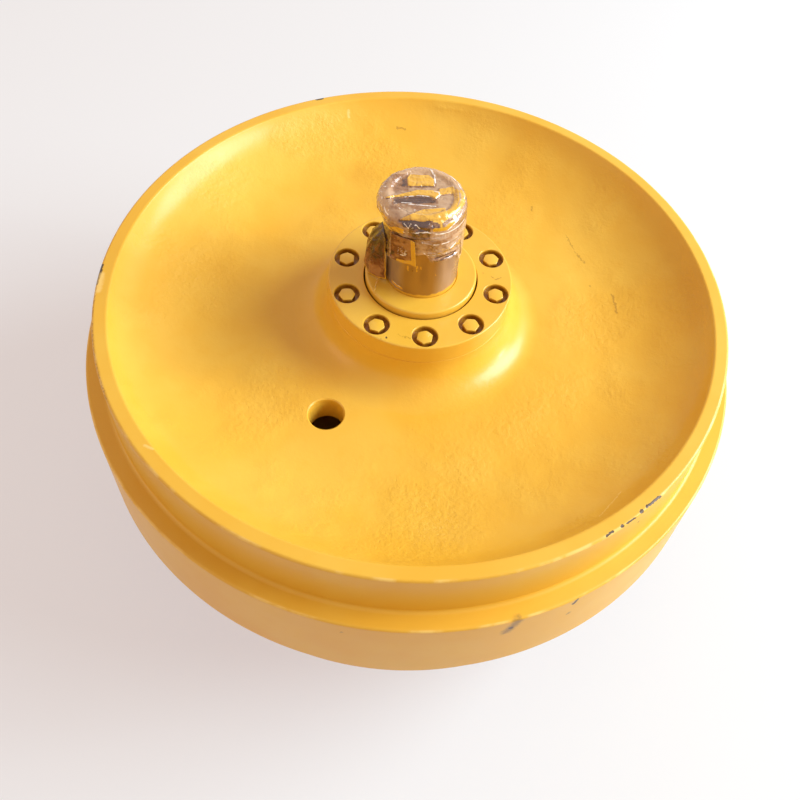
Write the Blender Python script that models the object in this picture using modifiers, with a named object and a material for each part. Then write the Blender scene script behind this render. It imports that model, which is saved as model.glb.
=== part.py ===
"""Front idler of a crawler excavator, as an assembly of separate solids.

Metres, +Z up. The origin is the centre of the wheel and Z is the axis that it turns on. The idler lies
flat, as it is stored: it stands on the lower end of its shaft. Upper and lower sides are mirror images,
apart from the core holes, the oil plug and the packing film.
"""

from math import cos, pi, radians, sin

import bmesh
import bpy
from mathutils import Matrix, Vector

# Wheel casting
TREAD_RADIUS = 0.400
FLANGE_HEIGHT = 0.023
FLANGE_WIDTH = 0.122
RIM_WIDTH = 0.276
RIM_LIP = 0.0176
TREAD_EDGE_ROUND = 0.007
SHOULDER_FILLET = 0.005
FLANGE_EDGE_ROUND = 0.003
DISH_DEPTH = 0.060
DISH_SLOPE = radians(30)
DISH_LIP_SLOPE = radians(59)
WEB_FLAT = 0.071
WEB_THICKNESS = 0.037
RIM_WALL = 0.040
BOSS_FILLET = 0.046

# Core holes, one in each web, half a turn apart
CORE_HOLE_RADIUS = 0.021
CORE_HOLE_FROM_FILLET = 0.0133
CORE_HOLE_ANGLE = radians(-116)

# Hub covers, which stand proud of the rim and carry the bushes and the turning seals
COVER_STANDS_PROUD = 0.016
COVER_FLANGE = 0.028
COVER_RIM_WALL = 0.0029
COVER_EDGE_ROUND = 0.0015
LABYRINTH_GAP = 0.0019

# Bolts of the hub covers
BOLT_COUNT = 10
BOLT_FROM_BORE = 0.014
BOLT_FIRST_ANGLE = radians(172.9)
BOLT_RADIUS = 0.006
BOLT_LENGTH = 0.045
BOLT_HEAD_FLATS = 0.018
BOLT_HEAD_HEIGHT = 0.0075
BOLT_HEAD_SUNK = 0.0015
COUNTERBORE_RADIUS = 0.0158

# Shaft
SHAFT_END_RADIUS = 0.045
SHAFT_END_CHAMFER = 0.003
SHAFT_STANDS_OUT = 0.123
JOURNAL_STEP = 0.005
SHOULDER_FROM_SEAL = 0.018
THRUST_FLANGE_STEP = 0.020
THRUST_FLANGE_WIDTH = 0.028
OIL_ROOM = 0.014
OIL_BORE_RADIUS = 0.006
OIL_CROSS_BORE_RADIUS = 0.004

# Oil plug in the lower end of the shaft
PLUG_RADIUS = 0.010
PLUG_LENGTH = 0.016
PLUG_SUNK = 0.002
PLUG_SOCKET_FLATS = 0.008
PLUG_SOCKET_DEPTH = 0.008

# Flanged bushes
BUSH_WALL = 0.0076
BUSH_FLANGE = 0.007
BUSH_FLANGE_INSET = 0.001
BUSH_FROM_SEAL_SEAT = 0.012

# Seal collars
COLLAR_STANDS_PROUD = 0.009
COLLAR_EDGE_ROUND = 0.003
COLLAR_SKIRT_WALL = 0.0038
COLLAR_NOSE_WALL = 0.0062

# Metal face seals. Heights are counted from the plane where the two rings of a pair meet.
SEAL_PLANE_BELOW_COVER = 0.036
SEAL_FROM_NOSE = 0.002
SEAL_RING_WALL = 0.004
SEAL_RING_HEIGHT = 0.013
SEAL_FACE_WIDTH = 0.010
SEAL_FACE_THICKNESS = 0.0035
SEAL_RAMP_RUN = 0.0025
SEAL_SEAT_MOUTH = 0.0025
SEAL_SEAT_DEPTH = 0.016
TORIC_RADIUS = 0.0029
TORIC_HEIGHT = 0.009

# O-rings
COVER_O_RING_RADIUS = 0.0015
COVER_O_RING_BELOW_FLANGE = 0.0155
COLLAR_O_RING_RADIUS = 0.0014
COLLAR_O_RING_BELOW_TOP = 0.013
O_RING_GROOVE_SIDE = 0.0009

# Drive pins of the seal collars
PIN_RADIUS = 0.004
PIN_LENGTH = 0.015
PIN_ABOVE_SHOULDER = 0.005

# Packing film over the upper end of the shaft
FILM_COVERS = 0.065
FILM_TOP = 0.008
FILM_SLACK = 0.006
FILM_OFF_CENTRE = 0.004

# Clearances
FIT_GAP = 0.0003
RUNNING_GAP = 0.0004
THRUST_GAP = 0.0005
SEAL_FACE_GAP = 0.00015

# Facets. The wheel has twice as many as the pieces in its bore, so that their corners line up.
INNER_FACETS = 30
WHEEL_FACETS = 2 * INNER_FACETS
SECTION_FACETS = 6
BOLT_FACETS = 8
COUNTERBORE_FACETS = 12
HOLE_FACETS = 12
CORE_HOLE_FACETS = 20
HEX = 6

# Cutters run past what they cut by this much
OVERCUT = 0.004

# Places along the axis, upper side
RIM_FACE_Z = RIM_WIDTH / 2
FLANGE_SIDE_Z = FLANGE_WIDTH / 2
WEB_Z = RIM_FACE_Z - DISH_DEPTH
CAVITY_Z = WEB_Z - WEB_THICKNESS
COVER_FACE_Z = RIM_FACE_Z + COVER_STANDS_PROUD
COVER_SEAT_Z = COVER_FACE_Z - COVER_FLANGE
HUB_FACE_Z = COVER_SEAT_Z - FIT_GAP
COLLAR_TOP_Z = COVER_FACE_Z + COLLAR_STANDS_PROUD
SHAFT_END_Z = COLLAR_TOP_Z + SHAFT_STANDS_OUT
SEAL_Z = COVER_FACE_Z - SEAL_PLANE_BELOW_COVER
SHOULDER_Z = SEAL_Z - SHOULDER_FROM_SEAL
THRUST_Z = THRUST_FLANGE_WIDTH / 2
BUSH_FACE_Z = THRUST_Z + THRUST_GAP
BUSH_FLANGE_Z = BUSH_FACE_Z + BUSH_FLANGE
BUSH_END_Z = SEAL_Z - SEAL_SEAT_DEPTH - BUSH_FROM_SEAL_SEAT
SPIGOT_Z = BUSH_FLANGE_Z + FIT_GAP
BOLT_SEAT_Z = COVER_FACE_Z - BOLT_HEAD_SUNK - BOLT_HEAD_HEIGHT
PIN_Z = SHOULDER_Z + FIT_GAP + PIN_ABOVE_SHOULDER

# Radii of the shaft, the bushes and the hub, from the shaft's end outwards
JOURNAL_RADIUS = SHAFT_END_RADIUS + JOURNAL_STEP
THRUST_FLANGE_RADIUS = JOURNAL_RADIUS + THRUST_FLANGE_STEP
BUSH_BORE_RADIUS = JOURNAL_RADIUS + RUNNING_GAP
BUSH_RADIUS = BUSH_BORE_RADIUS + BUSH_WALL
BUSH_FLANGE_RADIUS = THRUST_FLANGE_RADIUS - BUSH_FLANGE_INSET
COVER_BORE_RADIUS = BUSH_RADIUS + FIT_GAP
HUB_BORE_RADIUS = THRUST_FLANGE_RADIUS + OIL_ROOM
SPIGOT_RADIUS = HUB_BORE_RADIUS - FIT_GAP
BOLT_CIRCLE_RADIUS = HUB_BORE_RADIUS + BOLT_FROM_BORE
BOSS_RADIUS = BOLT_CIRCLE_RADIUS + COUNTERBORE_RADIUS + COVER_RIM_WALL

# Radii of the seals and the seal collars, from the shaft's end outwards
COLLAR_BORE_RADIUS = SHAFT_END_RADIUS + FIT_GAP
COLLAR_NOSE_RADIUS = COLLAR_BORE_RADIUS + COLLAR_NOSE_WALL
SEAL_RING_BORE_RADIUS = COLLAR_NOSE_RADIUS + SEAL_FROM_NOSE
SEAL_FACE_RADIUS = SEAL_RING_BORE_RADIUS + SEAL_FACE_WIDTH
SEAL_RAMP_HIGH_RADIUS = SEAL_RING_BORE_RADIUS + SEAL_RING_WALL
SEAL_RAMP_LOW_RADIUS = SEAL_RAMP_HIGH_RADIUS + SEAL_RAMP_RUN


def seal_ramp_radius(height):
    """Radius of a seal ring's ramp at a height over the plane where the rings meet."""
    share = (height - SEAL_FACE_THICKNESS) / (SEAL_RING_HEIGHT - SEAL_FACE_THICKNESS)
    return SEAL_RAMP_LOW_RADIUS + (SEAL_RAMP_HIGH_RADIUS - SEAL_RAMP_LOW_RADIUS) * share


def seal_seat_radius(height):
    """Radius of a seal's seat: it runs along the ramp, with the rubber between them."""
    return seal_ramp_radius(height) + 2 * (TORIC_RADIUS + FIT_GAP)


COLLAR_RADIUS = seal_seat_radius(SEAL_SEAT_MOUTH) + COLLAR_SKIRT_WALL
LABYRINTH_RADIUS = COLLAR_RADIUS + LABYRINTH_GAP

# Radii of the wheel
FLANGE_RADIUS = TREAD_RADIUS + FLANGE_HEIGHT
DISH_MOUTH_RADIUS = TREAD_RADIUS - RIM_LIP
BOSS_FOOT_RADIUS = BOSS_RADIUS + BOSS_FILLET
DISH_RADIUS = BOSS_FOOT_RADIUS + WEB_FLAT
CAVITY_RADIUS = TREAD_RADIUS - RIM_WALL
CORE_HOLE_PITCH_RADIUS = BOSS_FOOT_RADIUS + CORE_HOLE_FROM_FILLET + CORE_HOLE_RADIUS

UPPER, LOWER = 1, -1
SIDES = {"upper": UPPER, "lower": LOWER}
COLLECTION_NAME = "excavator_front_idler"


def clear_scene():
    """Removes every object and collection of the scene."""
    for item in list(bpy.data.objects):
        bpy.data.objects.remove(item, do_unlink=True)
    for group in list(bpy.data.collections):
        bpy.data.collections.remove(group)


def new_collection(name):
    group = bpy.data.collections.new(name)
    bpy.context.scene.collection.children.link(group)
    return group


def new_material(name, color, roughness, metallic):
    material = bpy.data.materials.new(name)
    material.use_nodes = True
    shader = material.node_tree.nodes["Principled BSDF"]
    shader.inputs["Base Color"].default_value = (*color, 1.0)
    shader.inputs["Roughness"].default_value = roughness
    shader.inputs["Metallic"].default_value = metallic
    material.diffuse_color = (*color, 1.0)
    return material


clear_scene()
parts = new_collection(COLLECTION_NAME)
cutters = new_collection("cutters")

PAINT = new_material("yellow_paint", (0.85, 0.42, 0.04), 0.38, 0.0)
BOLT_PAINT = new_material("bolt_paint", (0.83, 0.40, 0.04), 0.42, 0.0)
SHAFT_STEEL = new_material("greased_steel", (0.30, 0.23, 0.17), 0.35, 0.9)
SEAL_STEEL = new_material("lapped_steel", (0.55, 0.55, 0.56), 0.2, 1.0)
PLUG_STEEL = new_material("plated_steel", (0.45, 0.45, 0.47), 0.35, 1.0)
BRONZE = new_material("bronze", (0.55, 0.33, 0.12), 0.3, 1.0)
RUBBER = new_material("black_rubber", (0.02, 0.02, 0.02), 0.7, 0.0)
FILM = new_material("packing_film", (0.75, 0.66, 0.50), 0.15, 0.0)


def add_object(name, mesh, material, group):
    item = bpy.data.objects.new(name, mesh)
    group.objects.link(item)
    if material:
        if not mesh.materials:
            mesh.materials.append(material)
    else:
        item.hide_render = True
        item.display_type = "WIRE"
    return item


def turned(name, profile, facets, material, closed=True):
    """A solid turned about Z. The profile, of (radius, height) points, runs down its outer side."""
    mesh = bpy.data.meshes.new(name)
    points = [(radius, 0.0, height) for radius, height in profile]
    edges = [(i, i + 1) for i in range(len(points) - 1)]
    if closed:
        edges.append((len(points) - 1, 0))
    mesh.from_pydata(points, edges, [])
    item = add_object(name, mesh, material, parts if material else cutters)
    screw = item.modifiers.new("turn", "SCREW")
    screw.steps = facets
    screw.render_steps = facets
    screw.use_merge_vertices = True
    screw.merge_threshold = 0.00001
    screw.use_smooth_shade = True
    return item


def rod_mesh(name, radius, length, facets, matrix):
    """A closed cylinder, or with six facets a hexagon prism, centred at the matrix's place along its Z."""
    mesh = bpy.data.meshes.new(name)
    shape = bmesh.new()
    ends = {"radius1": radius, "radius2": radius, "depth": length}
    bmesh.ops.create_cone(shape, cap_ends=True, segments=facets, matrix=matrix, **ends)
    shape.to_mesh(mesh)
    shape.free()
    return mesh


def rod(name, radius, length, facets, matrix, material=None):
    """A cylinder that is a piece if it has a material, and a cutter if it has none."""
    mesh = rod_mesh(name, radius, length, facets, matrix)
    return add_object(name, mesh, material, parts if material else cutters)


def hexagon_radius(across_flats):
    """Radius of a hexagon's corners."""
    return across_flats / 2 / cos(pi / HEX)


def block(name, size, centre):
    """A box-shaped cutter."""
    mesh = bpy.data.meshes.new(name)
    shape = bmesh.new()
    place = Matrix.Translation(centre) @ Matrix.Diagonal((*size, 1.0))
    bmesh.ops.create_cube(shape, size=1.0, matrix=place)
    shape.to_mesh(mesh)
    shape.free()
    return add_object(name, mesh, None, cutters)


def boolean(item, tool, operation="DIFFERENCE"):
    change = item.modifiers.new(tool.name, "BOOLEAN")
    change.operation = operation
    change.solver = "EXACT"
    change.object = tool


def on_side(profile, side):
    """The profile of an upper piece, turned over for the lower side and kept running down its outside."""
    if side == UPPER:
        return profile
    return [(radius, -height) for radius, height in reversed(profile)]


def mirrored(half):
    """A profile for both sides, from the half above the middle plane."""
    return half + on_side(half, LOWER)


def arc(centre_radius, centre_height, radius, start, end, steps):
    """Points on an arc of a profile, with angles from the outward direction towards up."""
    angles = [start + (end - start) * i / steps for i in range(steps + 1)]
    return [(centre_radius + radius * cos(a), centre_height + radius * sin(a)) for a in angles]


def outer_round(edge_radius, edge_height, radius, steps):
    """A rounded edge between a face that looks up and the side below it."""
    return arc(edge_radius - radius, edge_height - radius, radius, pi / 2, 0.0, steps)


def inner_fillet(side_radius, floor_height, radius, steps):
    """A fillet between a side and the floor at its foot, which runs outwards."""
    return arc(side_radius + radius, floor_height + radius, radius, pi, 3 * pi / 2, steps)


def axis_place(radius, angle, height):
    return Vector((radius * cos(angle), radius * sin(angle), height))


def dish_arc_radii():
    """Radii of the two arcs, tangent to each other, that rise from the flat web to the rim's lip."""
    rise = (1 - cos(DISH_SLOPE), cos(DISH_SLOPE) - cos(DISH_LIP_SLOPE))
    run = (sin(DISH_SLOPE), sin(DISH_LIP_SLOPE) - sin(DISH_SLOPE))
    width = DISH_MOUTH_RADIUS - DISH_RADIUS
    scale = rise[0] * run[1] - rise[1] * run[0]
    wide_radius = (DISH_DEPTH * run[1] - width * rise[1]) / scale
    lip_radius = (width * rise[0] - DISH_DEPTH * run[0]) / scale
    return wide_radius, lip_radius


def dish_profile():
    """A dish from the hub out: the fillet at the boss's foot, the flat web, then two arcs up to the lip."""
    wide_radius, lip_radius = dish_arc_radii()
    down = -pi / 2
    foot = inner_fillet(BOSS_RADIUS, WEB_Z, BOSS_FILLET, 4)
    wide = arc(DISH_RADIUS, WEB_Z + wide_radius, wide_radius, down, down + DISH_SLOPE, 4)
    lip_centre_radius = DISH_RADIUS + (wide_radius - lip_radius) * sin(DISH_SLOPE)
    lip_centre_z = WEB_Z + wide_radius - (wide_radius - lip_radius) * cos(DISH_SLOPE)
    lip = arc(lip_centre_radius, lip_centre_z, lip_radius, down + DISH_SLOPE, down + DISH_LIP_SLOPE, 3)
    return foot + wide + lip[1:]


def wheel_half_profile():
    """The casting's outline above the middle plane, from the bore out to the flange."""
    hub = [(HUB_BORE_RADIUS, HUB_FACE_Z), (BOSS_RADIUS, HUB_FACE_Z)]
    edge = outer_round(TREAD_RADIUS, RIM_FACE_Z, TREAD_EDGE_ROUND, 2)
    foot = inner_fillet(TREAD_RADIUS, FLANGE_SIDE_Z, SHOULDER_FILLET, 2)
    crown = outer_round(FLANGE_RADIUS, FLANGE_SIDE_Z, FLANGE_EDGE_ROUND, 2)
    return hub + dish_profile() + edge + foot + crown


def make_wheel():
    wheel = turned("wheel_casting", mirrored(wheel_half_profile()), WHEEL_FACETS, PAINT)
    cavity = mirrored([(BOSS_RADIUS, CAVITY_Z), (CAVITY_RADIUS, CAVITY_Z)])
    boolean(wheel, turned("wheel_cavity", cavity, WHEEL_FACETS, None))
    for side_name, side in SIDES.items():
        angle = CORE_HOLE_ANGLE if side == UPPER else CORE_HOLE_ANGLE + pi
        length = WEB_THICKNESS + 2 * OVERCUT
        centre = axis_place(CORE_HOLE_PITCH_RADIUS, angle, side * (CAVITY_Z + WEB_Z) / 2)
        place = Matrix.Translation(centre)
        boolean(wheel, rod(f"core_hole_{side_name}", CORE_HOLE_RADIUS, length, CORE_HOLE_FACETS, place))


def cover_profile():
    """A hub cover, from its face down the outside, then back up through the bore and the seal's seat."""
    groove_z = COVER_SEAT_Z - COVER_O_RING_BELOW_FLANGE
    groove_half = COVER_O_RING_RADIUS + O_RING_GROOVE_SIDE
    groove_floor = SPIGOT_RADIUS - 2 * COVER_O_RING_RADIUS
    seat_mouth_z = SEAL_Z - SEAL_SEAT_MOUTH
    seat_floor_z = SEAL_Z - SEAL_SEAT_DEPTH
    edge = outer_round(BOSS_RADIUS, COVER_FACE_Z, COVER_EDGE_ROUND, 1)
    return [
        *edge,
        (BOSS_RADIUS, COVER_SEAT_Z),
        (SPIGOT_RADIUS, COVER_SEAT_Z),
        (SPIGOT_RADIUS, groove_z + groove_half),
        (groove_floor, groove_z + groove_half),
        (groove_floor, groove_z - groove_half),
        (SPIGOT_RADIUS, groove_z - groove_half),
        (SPIGOT_RADIUS, SPIGOT_Z),
        (COVER_BORE_RADIUS, SPIGOT_Z),
        (COVER_BORE_RADIUS, seat_floor_z),
        (seal_seat_radius(SEAL_SEAT_DEPTH), seat_floor_z),
        (seal_seat_radius(SEAL_SEAT_MOUTH), seat_mouth_z),
        (LABYRINTH_RADIUS, seat_mouth_z),
        (LABYRINTH_RADIUS, COVER_FACE_Z),
    ]


def bolt_places():
    return [BOLT_FIRST_ANGLE + 2 * pi * i / BOLT_COUNT for i in range(BOLT_COUNT)]


def make_bolt_mesh():
    """A hexagon bolt with its head's seat at the origin and its shank down."""
    head_centre = Matrix.Translation((0, 0, BOLT_HEAD_HEIGHT / 2))
    head = rod("bolt_head", hexagon_radius(BOLT_HEAD_FLATS), BOLT_HEAD_HEIGHT, HEX, head_centre)
    overlap = BOLT_HEAD_HEIGHT / 2
    shank_centre = Matrix.Translation((0, 0, (overlap - BOLT_LENGTH) / 2))
    shank = rod("bolt_shank", BOLT_RADIUS, BOLT_LENGTH + overlap, BOLT_FACETS, shank_centre)
    boolean(head, shank, "UNION")
    bpy.context.view_layer.update()
    evaluated = head.evaluated_get(bpy.context.evaluated_depsgraph_get())
    mesh = bpy.data.meshes.new_from_object(evaluated)
    bpy.data.objects.remove(head)
    bpy.data.objects.remove(shank)
    mesh.name = "cover_bolt"
    mesh.materials.clear()
    mesh.materials.append(BOLT_PAINT)
    return mesh


def make_hub_covers():
    bolt_mesh = make_bolt_mesh()
    hole_radius = BOLT_RADIUS + RUNNING_GAP
    wheel = bpy.data.objects["wheel_casting"]
    tapped_depth = BOLT_LENGTH + 2 * FIT_GAP
    for side_name, side in SIDES.items():
        cover = turned(f"hub_cover_{side_name}", on_side(cover_profile(), side), INNER_FACETS, PAINT)
        for number, angle in enumerate(bolt_places(), start=1):
            label = f"{side_name}_{number:02d}"
            seat = axis_place(BOLT_CIRCLE_RADIUS, angle, side * BOLT_SEAT_Z)
            turn = Matrix.Rotation(angle, 4, "Z")
            flip = Matrix.Rotation(0.0 if side == UPPER else pi, 4, "X")
            place = Matrix.Translation(seat) @ turn @ flip
            head_room = BOLT_HEAD_HEIGHT + BOLT_HEAD_SUNK + OVERCUT
            mouth = place @ Matrix.Translation((0, 0, head_room / 2))
            recess = rod(f"counterbore_{label}", COUNTERBORE_RADIUS, head_room, COUNTERBORE_FACETS, mouth)
            shank = place @ Matrix.Translation((0, 0, (OVERCUT - tapped_depth) / 2))
            hole = rod(f"bolt_hole_{label}", hole_radius, tapped_depth + OVERCUT, BOLT_FACETS, shank)
            boolean(cover, recess)
            boolean(cover, hole)
            boolean(wheel, hole)
            bolt = add_object(f"cover_bolt_{label}", bolt_mesh, BOLT_PAINT, parts)
            bolt.matrix_world = place @ Matrix.Translation((0, 0, FIT_GAP))


def make_shaft():
    half = [
        (SHAFT_END_RADIUS - SHAFT_END_CHAMFER, SHAFT_END_Z),
        (SHAFT_END_RADIUS, SHAFT_END_Z - SHAFT_END_CHAMFER),
        (SHAFT_END_RADIUS, SHOULDER_Z),
        (JOURNAL_RADIUS, SHOULDER_Z),
        (JOURNAL_RADIUS, THRUST_Z),
        (THRUST_FLANGE_RADIUS, THRUST_Z),
    ]
    profile = [(0.0, SHAFT_END_Z), *mirrored(half), (0.0, -SHAFT_END_Z)]
    shaft = turned("idler_shaft", profile, INNER_FACETS, SHAFT_STEEL, closed=False)
    across = Matrix.Rotation(pi / 2, 4, "Y")
    bore_top = OIL_CROSS_BORE_RADIUS + OVERCUT
    bore_length = SHAFT_END_Z + bore_top + OVERCUT
    bore_centre = Matrix.Translation((0, 0, bore_top - bore_length / 2))
    boolean(shaft, rod("oil_bore", OIL_BORE_RADIUS, bore_length, HOLE_FACETS, bore_centre))
    cross_length = 2 * (THRUST_FLANGE_RADIUS + OVERCUT)
    boolean(shaft, rod("oil_cross_bore", OIL_CROSS_BORE_RADIUS, cross_length, HOLE_FACETS, across))
    pocket_length = PLUG_LENGTH + PLUG_SUNK + FIT_GAP + OVERCUT
    pocket_centre = Matrix.Translation((0, 0, pocket_length / 2 - OVERCUT - SHAFT_END_Z))
    boolean(shaft, rod("plug_pocket", PLUG_RADIUS + FIT_GAP, pocket_length, HOLE_FACETS, pocket_centre))


def make_oil_plug():
    low = PLUG_SUNK - SHAFT_END_Z
    centre = Matrix.Translation((0, 0, low + PLUG_LENGTH / 2))
    plug = rod("oil_plug", PLUG_RADIUS, PLUG_LENGTH, HOLE_FACETS, centre, PLUG_STEEL)
    socket_length = PLUG_SOCKET_DEPTH + OVERCUT
    socket_centre = Matrix.Translation((0, 0, low + PLUG_SOCKET_DEPTH - socket_length / 2))
    boolean(plug, rod("plug_socket", hexagon_radius(PLUG_SOCKET_FLATS), socket_length, HEX, socket_centre))


def make_bushes():
    for side_name, side in SIDES.items():
        profile = [
            (BUSH_RADIUS, BUSH_END_Z),
            (BUSH_RADIUS, BUSH_FLANGE_Z),
            (BUSH_FLANGE_RADIUS, BUSH_FLANGE_Z),
            (BUSH_FLANGE_RADIUS, BUSH_FACE_Z),
            (BUSH_BORE_RADIUS, BUSH_FACE_Z),
            (BUSH_BORE_RADIUS, BUSH_END_Z),
        ]
        turned(f"flanged_bush_{side_name}", on_side(profile, side), INNER_FACETS, BRONZE)


def collar_profile():
    """A seal collar, from its face down the skirt, round the seal's seat, down the nose and up the bore."""
    groove_z = COLLAR_TOP_Z - COLLAR_O_RING_BELOW_TOP
    groove_half = COLLAR_O_RING_RADIUS + O_RING_GROOVE_SIDE
    groove_floor = SHAFT_END_RADIUS + RUNNING_GAP + 2 * COLLAR_O_RING_RADIUS + FIT_GAP
    edge = outer_round(COLLAR_RADIUS, COLLAR_TOP_Z, COLLAR_EDGE_ROUND, 2)
    return [
        *edge,
        (COLLAR_RADIUS, SEAL_Z + SEAL_SEAT_MOUTH),
        (seal_seat_radius(SEAL_SEAT_MOUTH), SEAL_Z + SEAL_SEAT_MOUTH),
        (seal_seat_radius(SEAL_SEAT_DEPTH), SEAL_Z + SEAL_SEAT_DEPTH),
        (COLLAR_NOSE_RADIUS, SEAL_Z + SEAL_SEAT_DEPTH),
        (COLLAR_NOSE_RADIUS, SHOULDER_Z + FIT_GAP),
        (COLLAR_BORE_RADIUS, SHOULDER_Z + FIT_GAP),
        (COLLAR_BORE_RADIUS, groove_z - groove_half),
        (groove_floor, groove_z - groove_half),
        (groove_floor, groove_z + groove_half),
        (COLLAR_BORE_RADIUS, groove_z + groove_half),
        (COLLAR_BORE_RADIUS, COLLAR_TOP_Z),
    ]


def make_collars_and_pins():
    """Each collar slides over its drive pin, which stands out of the shaft into a slot in its nose."""
    shaft = bpy.data.objects["idler_shaft"]
    across = Matrix.Rotation(pi / 2, 4, "Y")
    pin_end = COLLAR_NOSE_RADIUS - FIT_GAP
    slot_width = 2 * (PIN_RADIUS + FIT_GAP)
    for side_name, side in SIDES.items():
        collar = turned(f"seal_collar_{side_name}", on_side(collar_profile(), side), INNER_FACETS, PAINT)
        middle = Matrix.Translation((pin_end - PIN_LENGTH / 2, 0, side * PIN_Z))
        rod(f"collar_pin_{side_name}", PIN_RADIUS, PIN_LENGTH, HOLE_FACETS, middle @ across, PLUG_STEEL)
        hole_length = PIN_LENGTH + FIT_GAP + OVERCUT
        hole_middle = Matrix.Translation((pin_end + OVERCUT - hole_length / 2, 0, side * PIN_Z))
        hole = rod(f"pin_hole_{side_name}", slot_width / 2, hole_length, HOLE_FACETS, hole_middle @ across)
        boolean(shaft, hole)
        slot_low = SHOULDER_Z - OVERCUT
        slot_high = PIN_Z + slot_width / 2
        slot_size = (COLLAR_NOSE_WALL + 2 * OVERCUT, slot_width, slot_high - slot_low)
        slot_centre = (COLLAR_BORE_RADIUS + COLLAR_NOSE_WALL / 2, 0, side * (slot_low + slot_high) / 2)
        boolean(collar, block(f"pin_slot_{side_name}", slot_size, slot_centre))


def seal_ring_profile():
    """A metal face seal's ring over the plane where it meets its mate."""
    return [
        (SEAL_RAMP_HIGH_RADIUS, SEAL_RING_HEIGHT),
        (SEAL_RAMP_LOW_RADIUS, SEAL_FACE_THICKNESS),
        (SEAL_FACE_RADIUS, SEAL_FACE_THICKNESS),
        (SEAL_FACE_RADIUS, SEAL_FACE_GAP),
        (SEAL_RING_BORE_RADIUS, SEAL_FACE_GAP),
        (SEAL_RING_BORE_RADIUS, SEAL_RING_HEIGHT),
    ]


def ring_section(centre_radius, centre_height, radius):
    """A round section with its points in the order that a turned profile needs."""
    turn = 2 * pi / SECTION_FACETS
    angles = [pi / 2 - turn * i for i in range(SECTION_FACETS)]
    return [(centre_radius + radius * cos(a), centre_height + radius * sin(a)) for a in angles]


def lifted(profile, height):
    return [(radius, z + height) for radius, z in profile]


def make_seals():
    toric_radius = seal_ramp_radius(TORIC_HEIGHT) + FIT_GAP + TORIC_RADIUS
    toric = ring_section(toric_radius, TORIC_HEIGHT, TORIC_RADIUS)
    for side_name, side in SIDES.items():
        for half_name, half in (("fixed", UPPER), ("turning", LOWER)):
            ring = lifted(on_side(seal_ring_profile(), half), SEAL_Z)
            turned(f"{half_name}_seal_ring_{side_name}", on_side(ring, side), INNER_FACETS, SEAL_STEEL)
            rubber = lifted(on_side(toric, half), SEAL_Z)
            turned(f"{half_name}_seal_rubber_{side_name}", on_side(rubber, side), INNER_FACETS, RUBBER)


def make_o_rings():
    cover_z = COVER_SEAT_Z - COVER_O_RING_BELOW_FLANGE
    cover_radius = HUB_BORE_RADIUS - FIT_GAP - COVER_O_RING_RADIUS
    collar_z = COLLAR_TOP_Z - COLLAR_O_RING_BELOW_TOP
    collar_radius = SHAFT_END_RADIUS + RUNNING_GAP + COLLAR_O_RING_RADIUS
    for side_name, side in SIDES.items():
        cover_section = ring_section(cover_radius, cover_z, COVER_O_RING_RADIUS)
        turned(f"cover_o_ring_{side_name}", on_side(cover_section, side), INNER_FACETS, RUBBER)
        collar_section = ring_section(collar_radius, collar_z, COLLAR_O_RING_RADIUS)
        turned(f"collar_o_ring_{side_name}", on_side(collar_section, side), INNER_FACETS, RUBBER)


def make_film():
    """The packing film: a domed cap over the shaft's upper end, slack on the side away from +X."""
    film_radius = SHAFT_END_RADIUS + FIT_GAP + FILM_SLACK
    low = SHAFT_END_Z - FILM_COVERS
    top = SHAFT_END_Z + FILM_TOP
    shoulder = 3 * FILM_TOP
    profile = [
        (0.0, top),
        (film_radius / 2, top - FILM_TOP / 8),
        (film_radius - FILM_TOP, top - FILM_TOP / 2),
        (film_radius, top - shoulder / 2),
        (film_radius, top - shoulder),
        (film_radius - FILM_SLACK / 4, (low + top - shoulder) / 2),
        (film_radius - FILM_SLACK / 4, low),
        (0.0, low),
    ]
    film = turned("shaft_end_film", profile, INNER_FACETS, FILM, closed=False)
    film.location.x = -FILM_OFF_CENTRE
    room = SHAFT_END_Z + FIT_GAP - low + OVERCUT
    centre = Matrix.Translation((0, 0, low - OVERCUT + room / 2))
    boolean(film, rod("film_inside", SHAFT_END_RADIUS + FIT_GAP, room, INNER_FACETS, centre))


def shade_pieces():
    """Round faces are smooth, and edges sharper than this are kept sharp."""
    for item in parts.objects:
        item.data.shade_smooth()
        item.data.set_sharp_from_angle(angle=radians(30))


make_wheel()
make_hub_covers()
make_shaft()
make_oil_plug()
make_bushes()
make_collars_and_pins()
make_seals()
make_o_rings()
make_film()
shade_pieces()
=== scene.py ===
"""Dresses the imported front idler: cast and turned pieces, paint, steel, packing film, studio and camera."""

import logging
from collections.abc import Callable
from dataclasses import dataclass
from enum import Enum
from functools import cached_property
from math import acos, atan2, cos, degrees, exp, hypot, pi, radians, sin, tan

import bpy
from mathutils import Euler, Matrix, Vector, noise
from mathutils.geometry import intersect_point_line


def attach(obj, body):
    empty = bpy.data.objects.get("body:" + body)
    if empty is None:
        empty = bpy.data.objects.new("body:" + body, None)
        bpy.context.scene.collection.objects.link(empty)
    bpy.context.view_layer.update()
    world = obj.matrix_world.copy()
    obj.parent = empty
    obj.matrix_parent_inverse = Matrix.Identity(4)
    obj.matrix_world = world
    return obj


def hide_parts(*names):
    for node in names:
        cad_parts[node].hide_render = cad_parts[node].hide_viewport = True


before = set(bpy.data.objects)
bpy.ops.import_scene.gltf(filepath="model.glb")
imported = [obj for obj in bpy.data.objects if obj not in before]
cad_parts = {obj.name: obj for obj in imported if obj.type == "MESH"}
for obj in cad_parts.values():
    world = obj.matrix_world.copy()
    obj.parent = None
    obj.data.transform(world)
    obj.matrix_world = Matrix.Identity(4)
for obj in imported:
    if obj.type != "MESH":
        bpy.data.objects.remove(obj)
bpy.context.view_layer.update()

log = logging.getLogger("front_idler")

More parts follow.
